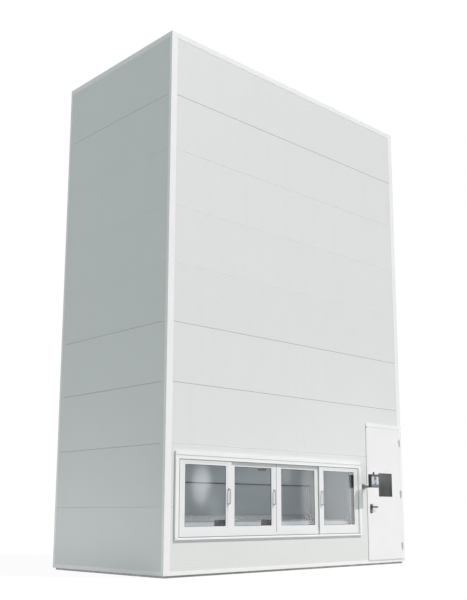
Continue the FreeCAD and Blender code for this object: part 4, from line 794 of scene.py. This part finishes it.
# %% Stile seals
above_foot_rail, below_head_rail = 0.676, 1.849
inner_sash_low, inner_sash_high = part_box("sash_left_inner")
meeting = add_block("meeting_seal",
                    (inner_sash_high.x - 0.0075, inner_sash_low.y - 0.0028, above_foot_rail),
                    (inner_sash_high.x - 0.0005, inner_sash_low.y - 0.0003, below_head_rail))
fit_piece(round_edges(meeting, 0.0009), grey_rubber, "sash_left_inner_unit", "belt_rubber")
for sash, edge in (("left_outer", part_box("sash_left_outer")[1].x - 0.0065),
                   ("right_outer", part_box("sash_right_outer")[0].x + 0.0005)):
    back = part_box("sash_" + sash)[1].y
    brush = add_block("stile_brush_" + sash, (edge, back + 0.0003, above_foot_rail),
                      (edge + 0.006, inner_sash_low.y - 0.0004, below_head_rail))
    fit_piece(round_edges(brush, 0.001), seal_rubber, f"sash_{sash}_unit", "belt_rubber")

# %% [markdown]
# ## Pulls
# A bow handle is a flat bar bent twice. It is modelled the way it is made: a short foot, whose end face
# spins through a quarter circle, runs straight, spins again and runs back to the sash. Two round rosettes
# cover the screws at its feet.

# %% Bow handle
bend = 0.016
half_bar = 0.0055


def add_bow(name, low, high):
    """A flat bar bent into a handle that stands off the wall, between two corners; high.y is the sash."""
    bar = 2 * half_bar
    run_y = low.y + half_bar
    bow = add_block(name, (low.x, run_y + bend, low.z), (high.x, high.y, low.z + bar))
    choose_faces(bow, "y", -1)
    for bend_z, run in ((low.z + half_bar + bend, (0, 0, high.z - low.z - bar - 2 * bend)),
                        (high.z - half_bar - bend, (0, high.y - run_y - bend, 0))):
        bpy.ops.mesh.spin(steps=6, angle=math.pi / 2, axis=(1, 0, 0), center=(low.x, run_y + bend, bend_z))
        push_faces(*run)
    bpy.ops.mesh.select_all(action="SELECT")
    bpy.ops.mesh.remove_doubles(threshold=0.00001)
    bpy.ops.mesh.normals_make_consistent(inside=False)
    back_to_object()
    return round_edges(bow, 0.0028, 3)


for pull, sash in (("left", "left_outer"), ("middle", "left_inner"), ("right", "right_outer")):
    pull_low, pull_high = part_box("pull_" + pull)
    bow = add_bow("bow", pull_low, pull_high)
    middle_x = (pull_low.x + pull_high.x) / 2
    handle = [bow]
    for z in (pull_low.z + half_bar, pull_high.z - half_bar):
        rosette = add_rod("rosette", (middle_x, pull_high.y - 0.002, z), 0.0165, 0.004, "y", 32)
        handle.append(round_edges(rosette, 0.0012))
    fit_piece(join_pieces("bow_handle_" + pull, handle), pull_coat, f"sash_{sash}_unit",
              "pull_grey", "pull_" + pull)

# %% [markdown]
# ## Inside the bay
# Through the glass one sees the rubber strip under the fascia, the brush at the foot of the shutter, a
# grey edging and two dark blocks clipped over the edge of the sill board, the lenses of the light
# barriers, and a small height sensor that hangs from the bay's ceiling and looks for goods that stand too
# high.

# %% Fascia strip and shutter brush
shutter_low, shutter_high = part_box("bay_shutter")
guides_to_fascia = 0.0023
fascia_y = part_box("shutter_guides")[0].y - guides_to_fascia
fascia_foot = 1.520
past_opening = 0.04
fascia_strip = add_block(
    "fascia_strip", (shutter_low.x - past_opening, fascia_y - 0.0042, fascia_foot - 0.003),
    (shutter_high.x + past_opening, fascia_y - 0.0003, fascia_foot + 0.022))
fit_piece(round_edges(fascia_strip, 0.0015), seal_rubber, "enclosure", "belt_rubber")
brush_inset, brush_long = 0.02, 0.0135
brush = add_block(
    "shutter_brush", (shutter_low.x + brush_inset, shutter_low.y + 0.002, shutter_low.z - brush_long),
    (shutter_high.x - brush_inset, shutter_high.y - 0.002, shutter_low.z - 0.0002))
fit_piece(round_edges(brush, 0.0015), liner_coat, "shutter", "belt_rubber")

# %% Edging and dark blocks on the sill board
board_top = 0.8723
board_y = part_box("bay_liner")[0].y
past_shutter = 0.044
board_left, board_right = shutter_low.x - past_shutter, shutter_high.x + past_shutter
dark_block_ends = ((-1.985, -1.735), (-0.885, -0.640))


def add_clip(name, left, right, deep, proud, rounding):
    """A rubber profile with a slot underneath, pushed down over the edge of the sill board."""
    clip = add_block(name, (left, board_y - proud, board_top - deep),
                     (right, board_y + proud, board_top + proud))
    slot_front, slot_back = board_y - 0.0004, board_y + 0.0024
    cut_piece(clip, (0, 1, 0), (0, slot_front, 0), (0, slot_back, 0))
    choose_faces(clip, "z", -1, lambda middle: slot_front < middle.y < slot_back)
    push_faces(0, 0, deep + 0.0003)
    back_to_object()
    return round_edges(clip, rounding, 3)


# Two dark blocks, clipped over the edge of the sill board.
dark_blocks = [add_clip("dark_sill_block", left, right, deep=0.098, proud=0.012, rounding=0.003)
        for left, right in dark_block_ends]
fit_piece(join_pieces("dark_sill_blocks", dark_blocks), seal_rubber, "enclosure", "belt_rubber")
run_ends = [board_left] + [end for ends in dark_block_ends for end in ends] + [board_right]
edging = [add_clip("edging", left + 0.001, right - 0.001, deep=0.022, proud=0.005, rounding=0.0015)
          for left, right in zip(run_ends[::2], run_ends[1::2])]
fit_piece(join_pieces("board_edging", edging), grey_rubber, "enclosure", "belt_rubber")

# %% Light barrier lenses
barrier_low, barrier_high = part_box("light_barriers")
barrier_wide = 0.035
lens_foot, lens_top = 0.66, 1.86
lowest_dot = 0.70
dot_step, dot_count = 0.04, 29
middle_y = (barrier_low.y + barrier_high.y) / 2
lens_parts = []
for face_x, out in ((barrier_low.x + barrier_wide, 1), (barrier_high.x - barrier_wide, -1)):
    window = add_block("lens", (face_x + out * 0.0003, middle_y - 0.006, lens_foot),
                       (face_x + out * 0.0028, middle_y + 0.006, lens_top))
    round_edges(window, 0.001)
    dot = add_rod("lens_dot", (face_x + out * 0.0032, middle_y, lowest_dot), 0.0045, 0.0024, "x", 12)
    lens_parts += [window, repeat_piece(round_edges(dot, 0.0008), (0, 0, dot_step), dot_count)]
fit_piece(join_pieces("light_barrier_lenses", lens_parts), lens_glass, "enclosure", "dark_glass")

# %% Height sensor
sensor_left, sensor_right = -0.949, -0.774
sensor_foot, sensor_top = 1.727, 1.765
sensor_half = 0.020
hanger_left, hanger_right = -0.880, -0.843
bay_ceiling = 1.9597
eye_box = add_block("eye_box", (sensor_left, board_y - sensor_half, sensor_foot),
                    (sensor_right, board_y + sensor_half, sensor_top))
choose_faces(eye_box, "z", -1)
bpy.ops.mesh.inset(thickness=0.006)
push_faces(0, 0, 0.004)
back_to_object()
hanger = add_block("hanger", (hanger_left, board_y + 0.004, sensor_top - 0.0005),
                   (hanger_right, board_y + 0.008, bay_ceiling))
sensor_parts = [round_edges(part, 0.0012) for part in (eye_box, hanger)]
fit_piece(join_pieces("height_sensor", sensor_parts), console_plastic, "enclosure", "black_plastic")

# %% [markdown]
# ## Door furniture
# The lever set is black plastic over steel. Each lever is a bar whose free end is drawn a little thinner,
# with a round neck that goes through a plate. The plate carries two screws and, below the lever, the key
# cylinder. The leaf's own seal shows as a dark line in the gap round it.

# %% Levers
lever_low, lever_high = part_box("lever_handle")
leaf_low, leaf_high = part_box("door_leaf")
lever_z = (lever_low.z + lever_high.z) / 2
backset = 0.078
spindle_x = leaf_low.x + backset
bar_thick = 0.013
plate_room = 0.0125


def add_lever(name, front, towards_leaf):
    """A lever arm whose outer face is at front; towards_leaf is 1 or -1 along y."""
    back = front + towards_leaf * bar_thick
    arm = add_block(name, (lever_low.x, front, lever_low.z), (lever_high.x, back, lever_high.z))
    cut_piece(arm, (1, 0, 0), *((spindle_x + along, 0, 0) for along in (0.030, 0.080, 0.125)))
    choose_faces(arm, "x", 1)
    bpy.ops.transform.resize(value=(1, 0.75, 0.62), center_override=(lever_high.x, front, lever_z))
    back_to_object()
    round_edges(arm, 0.0045, 4)
    reach = abs(leaf_low.y - lever_low.y) - plate_room
    middle_y = front + towards_leaf * (bar_thick + reach) / 2
    neck = add_rod("neck", (spindle_x, middle_y, lever_z), 0.0088, reach - bar_thick + 0.004, "y", 32)
    return join_pieces(name, [arm, round_edges(neck, 0.001)])


outer_lever = add_lever("outer_lever", lever_low.y, 1)
inner_lever = add_lever("inner_lever", lever_high.y, -1)
spindle = add_block("spindle", (spindle_x - 0.004, leaf_low.y - 0.012, lever_z - 0.004),
                    (spindle_x + 0.004, leaf_high.y + 0.012, lever_z + 0.004))
fit_piece(join_pieces("door_levers", [outer_lever, inner_lever, round_edges(spindle, 0.0006)]),
          black_plastic, "lever", "black_plastic", "lever_handle")

# %% Plates, screws and key cylinder
plate_low, plate_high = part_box("lever_plates")
plate_thick = 0.012
key_below_lever = 0.072
key_z = lever_z - key_below_lever
screw_inset = 0.016
plates, fixings = [], []
for outer_y, out in ((plate_low.y, -1), (plate_high.y, 1)):
    plate = add_block("plate", (plate_low.x, outer_y, plate_low.z),
                      (plate_high.x, outer_y - out * plate_thick, plate_high.z))
    choose_faces(plate, "y", out)
    bpy.ops.mesh.inset(thickness=0.005)
    bpy.ops.transform.translate(value=(0, out * 0.0015, 0))
    back_to_object()
    plates.append(round_edges(plate, 0.004, 4))
    collar = add_rod("collar", (spindle_x, outer_y + out * 0.003, lever_z), 0.0155, 0.005, "y", 40)
    plates.append(round_edges(collar, 0.0012))
    for z in (plate_low.z + screw_inset, plate_high.z - screw_inset):
        screw = add_rod("screw", (spindle_x, outer_y + out * 0.002, z), 0.0042, 0.0018, "y", 20)
        choose_faces(screw, "y", out)
        bpy.ops.mesh.inset(thickness=0.0018)
        bpy.ops.transform.translate(value=(0, -out * 0.0012, 0))
        back_to_object()
        fixings.append(round_edges(screw, 0.0003))
    barrel = add_rod("barrel", (spindle_x, outer_y + out * 0.003, key_z), 0.0085, 0.006, "y", 28)
    leg = add_block("leg", (spindle_x - 0.005, outer_y, key_z - 0.022),
                    (spindle_x + 0.005, outer_y + out * 0.0058, key_z))
    fixings += [round_edges(barrel, 0.0006), round_edges(leg, 0.0006)]
fit_piece(join_pieces("lever_escutcheons", plates), black_plastic, "door", "black_plastic",
          "lever_plates")
fit_piece(join_pieces("lock_cylinder", fixings), turned_steel, "door", "machined_steel")

# %% Door seals
gap = 0.0003
door_seal = add_ring("door_seal", (leaf_low.x - 0.0028, leaf_low.y + 0.010, leaf_low.z - 0.0026),
                     (leaf_high.x + 0.0028, leaf_low.y + 0.016, leaf_high.z + 0.0028), 0.0026)
fit_piece(round_edges(door_seal, 0.0004), seal_rubber, "enclosure", "belt_rubber")
view_low, view_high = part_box("door_vision_panel")
vision_seal = add_ring("vision_seal", (view_low.x + gap, view_low.y - 0.0052, view_low.z + gap),
                       (view_high.x - gap, view_low.y - gap, view_high.z - gap), 0.009)
fit_piece(round_edges(vision_seal, 0.001), seal_rubber, "door", "belt_rubber")

# %% [markdown]
# ## Console
# The console is a shallow housing with rounded edges and a sunk front, where the screen sits. Behind it
# two lugs and a pin carry it on the arm. The whole head is modelled again, so that its edges can be round.
# The picture on the screen shows plain tiles only.

# %% Console housing
head_low, head_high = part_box("console_head")
head_deep = 0.070
head_back = head_low.y + head_deep
wall_out, swivel_out, arm_reach = 1.5727, 0.045, 0.158
pivot_x = (head_low.x + head_high.x) / 2
pivot_y = -(wall_out + swivel_out + arm_reach)
pivot_z = 1.576
lug_inner, lug_outer, cap_middle = 0.0214, 0.0314, 0.0335
lug_half = 0.016
housing = add_block("console_housing", head_low, (head_high.x, head_back, head_high.z))
cut_piece(housing, (1, 0, 0), (screen_low.x - gap, 0, 0), (screen_high.x + gap, 0, 0))
cut_piece(housing, (0, 0, 1), (0, 0, screen_low.z - gap), (0, 0, screen_high.z + gap))
choose_faces(housing, "y", -1, lambda middle: screen_low.x < middle.x < screen_high.x
             and screen_low.z < middle.z < screen_high.z)
push_faces(0, 0.0053, 0)
back_to_object()
choose_faces(housing, "y", 1)
bpy.ops.mesh.dissolve_limited(angle_limit=math.radians(1))
bpy.ops.mesh.inset(thickness=0.022)
push_faces(0, -0.003, 0)
back_to_object()
round_edges(housing, 0.0035, 3)
lugs = []
for side in (-1, 1):
    lug = add_block("lug", (pivot_x + side * lug_inner, head_back - 0.006, pivot_z - lug_half),
                    (pivot_x + side * lug_outer, pivot_y + 0.008, pivot_z + lug_half))
    cap = add_rod("cap", (pivot_x + side * cap_middle, pivot_y, pivot_z), 0.009, 0.004, "x", 24)
    lugs += [round_edges(lug, 0.003, 3), round_edges(cap, 0.001)]
pin = add_rod("pin", (pivot_x, pivot_y, pivot_z), 0.0058, 0.064, "x", 20)
fit_piece(join_pieces("console_housing", [housing, pin, *lugs]), console_plastic, "console_head_unit",
          "console_dark", "console_head")

# %% Screen picture
screen_wide, screen_tall = screen_high.x - screen_low.x, screen_high.z - screen_low.z
tile_front, tile_back = screen_low.y - 0.0005, screen_low.y - 0.0001


def add_tile(name, left, low, right, top, finish):
    """A lit tile on the screen, placed by shares of the screen's width and height."""
    x_left, x_right = (screen_low.x + share * screen_wide for share in (left, right))
    z_low, z_top = (screen_low.z + share * screen_tall for share in (low, top))
    tile = add_block("screen_" + name, (x_left, tile_front, z_low), (x_right, tile_back, z_top))
    fit_piece(round_edges(tile, 0.0002, 1), finish, "console_head_unit", "screen_glass")


add_tile("left_tile", 0.03, 0.21, 0.36, 0.96, tile_pale)
add_tile("header_tile", 0.38, 0.66, 0.66, 0.96, tile_deep)
add_tile("middle_tile", 0.38, 0.36, 0.66, 0.64, tile_teal)
add_tile("foot_tile", 0.38, 0.04, 0.66, 0.34, tile_deep)
add_tile("right_tile", 0.68, 0.21, 0.97, 0.96, tile_white)
add_tile("left_bar", 0.03, 0.04, 0.36, 0.19, tile_deep)
add_tile("right_bar", 0.68, 0.04, 0.97, 0.19, tile_deep)

# %% Lamp collar and bracket bolts
lamp_low, lamp_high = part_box("status_lamp")
lamp_x, lamp_y = (lamp_low.x + lamp_high.x) / 2, (lamp_low.y + lamp_high.y) / 2
collar = add_rod("collar", (lamp_x, lamp_y, lamp_low.z + 0.0045), 0.0190, 0.009, "z", 40)
choose_faces(collar, "z", 0)
bpy.ops.mesh.inset(thickness=0.0028)
bpy.ops.mesh.bridge_edge_loops()
back_to_object()
cap = add_rod("cap", (lamp_x, lamp_y, lamp_high.z + 0.0022), 0.0162, 0.004, "z", 40)
fit_piece(join_pieces("lamp_collar", [round_edges(collar, 0.0008), round_edges(cap, 0.0016, 3)]),
          console_plastic, "console_head_unit", "console_dark")
bracket_low, bracket_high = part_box("console_bracket")
plate_front = bracket_high.y - 0.0100
bolt_inset = 0.012
bolt_heads = []
for x in (bracket_low.x + bolt_inset, bracket_high.x - bolt_inset):
    for z in (bracket_low.z + bolt_inset, bracket_high.z - bolt_inset):
        head = add_rod("bolt", (x, plate_front - 0.0027, z), 0.0065, 0.005, "y", 6)
        bolt_heads.append(round_edges(head, 0.0006))
fit_piece(join_pieces("console_bracket_bolts", bolt_heads), turned_steel, "enclosure", "machined_steel")

# %% [markdown]
# ## Joints between the wall panels
# Two panels meet in a groove with sloping sides. The erectors press a grey gasket into the joints that
# take the movement of the building, and run sealant in the wall's own colour into the others, nearly
# flush or a little deeper. That is why some joints read as a dark line and others almost vanish. The
# lowest joint stays an open groove. On the front, the strip of the next one ends at the door.

# %% Joint strips
groove_deep = 0.007
groove_play = 0.0002
above_groove_floor = 0.0006
narrow_share = 0.04
corner_cover = 0.045
wall_low, wall_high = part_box("front_wall_panels")
side_low, side_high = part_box("side_wall_panels")
door_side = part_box("door_frame")[0].x
door_play = 0.012


def add_joint_strip(z, depth, start, end, wall, facing):
    """A wedge that fills a joint up to a depth below the wall's face; wall is x or y, facing its sign."""
    half = groove_deep - depth - groove_play
    back = groove_deep - above_groove_floor
    face = facing * (side_high.x if wall == "x" else -wall_low.y)
    outer, inner = face - facing * depth, face - facing * back
    low, high = ((outer, start), (inner, end)) if wall == "x" else ((start, outer), (end, inner))
    strip = add_block("strip", (*low, z - half), (*high, z + half))
    choose_faces(strip, wall, -facing)
    bpy.ops.transform.resize(value=(1, 1, narrow_share), center_override=(0, 0, z))
    back_to_object()
    return strip


gaskets, sealants = [], []
depth_of_row = {8: 0.0030, 7: 0.0018, 6: 0.0010, 5: 0.0008, 4: 0.0022, 3: 0.0016, 2: 0.0026}
wall_ends = (wall_low.x + corner_cover, wall_high.x - corner_cover)
side_ends = (side_low.y + corner_cover, side_high.y - corner_cover)
for row, depth in depth_of_row.items():
    z = panel_low + row * panel_pitch
    family = gaskets if row in (3, 4, 8) else sealants
    right_end = door_side - door_play if row == 2 else wall_ends[1]
    family.append(add_joint_strip(z, depth, wall_ends[0], right_end, "y", -1))
    family.append(add_joint_strip(z, depth, *wall_ends, "y", 1))
    for facing in (-1, 1):
        side_family = gaskets if row in (2, 3, 4, 8) else sealants
        side_family.append(add_joint_strip(z, depth, *side_ends, "x", facing))
fit_piece(join_pieces("joint_gaskets", gaskets), joint_gasket, "enclosure", "belt_rubber")
fit_piece(join_pieces("joint_sealant", sealants), joint_sealant, "enclosure", "wall_steel")

# %% [markdown]
# ## Rivets and screws
# The corner angles are held by blind rivets, one every 600 mm on both legs, and the window casing by
# screws under plastic caps. They are modelled once and repeated in a row. A rivet is only a few faces,
# because there are many of them and each is about a centimetre across.

# %% Rivets on the corner angles
trim_low, trim_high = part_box("edge_trims")
rivet_step, rivet_count = 0.6, 15
lowest_rivet = 0.45
from_corner, rivet_out = 0.064, 0.0008
rivet_rows = []
for side, corner_x in ((-1, trim_low.x), (1, trim_high.x)):
    for facing, corner_y in ((-1, trim_low.y), (1, trim_high.y)):
        for axis, x, y in (("y", corner_x - side * from_corner, corner_y + facing * rivet_out),
                           ("x", corner_x + side * rivet_out, corner_y - facing * from_corner)):
            rivet = add_rod("rivet", (x, y, lowest_rivet), 0.0055, 0.0022, axis, 10)
            rivet_rows.append(repeat_piece(round_edges(rivet, 0.0007, 1), (0, 0, rivet_step), rivet_count))
fit_piece(join_pieces("corner_rivets", rivet_rows), white_trim, "enclosure", "white_trim")

# %% Casing caps
casing_low, casing_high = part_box("window_casing")
first_cap_x = casing_low.x + 0.20
cap_step, cap_count = 0.535, 9
caps = []
for z in (casing_low.z + 0.030, casing_high.z - 0.020):
    cap = add_rod("cap", (first_cap_x, casing_low.y - 0.0009, z), 0.0065, 0.0022, "y", 14)
    caps.append(repeat_piece(round_edges(cap, 0.0008), (cap_step, 0, 0), cap_count))
fit_piece(join_pieces("casing_caps", caps), track_coat, "enclosure", "white_trim")
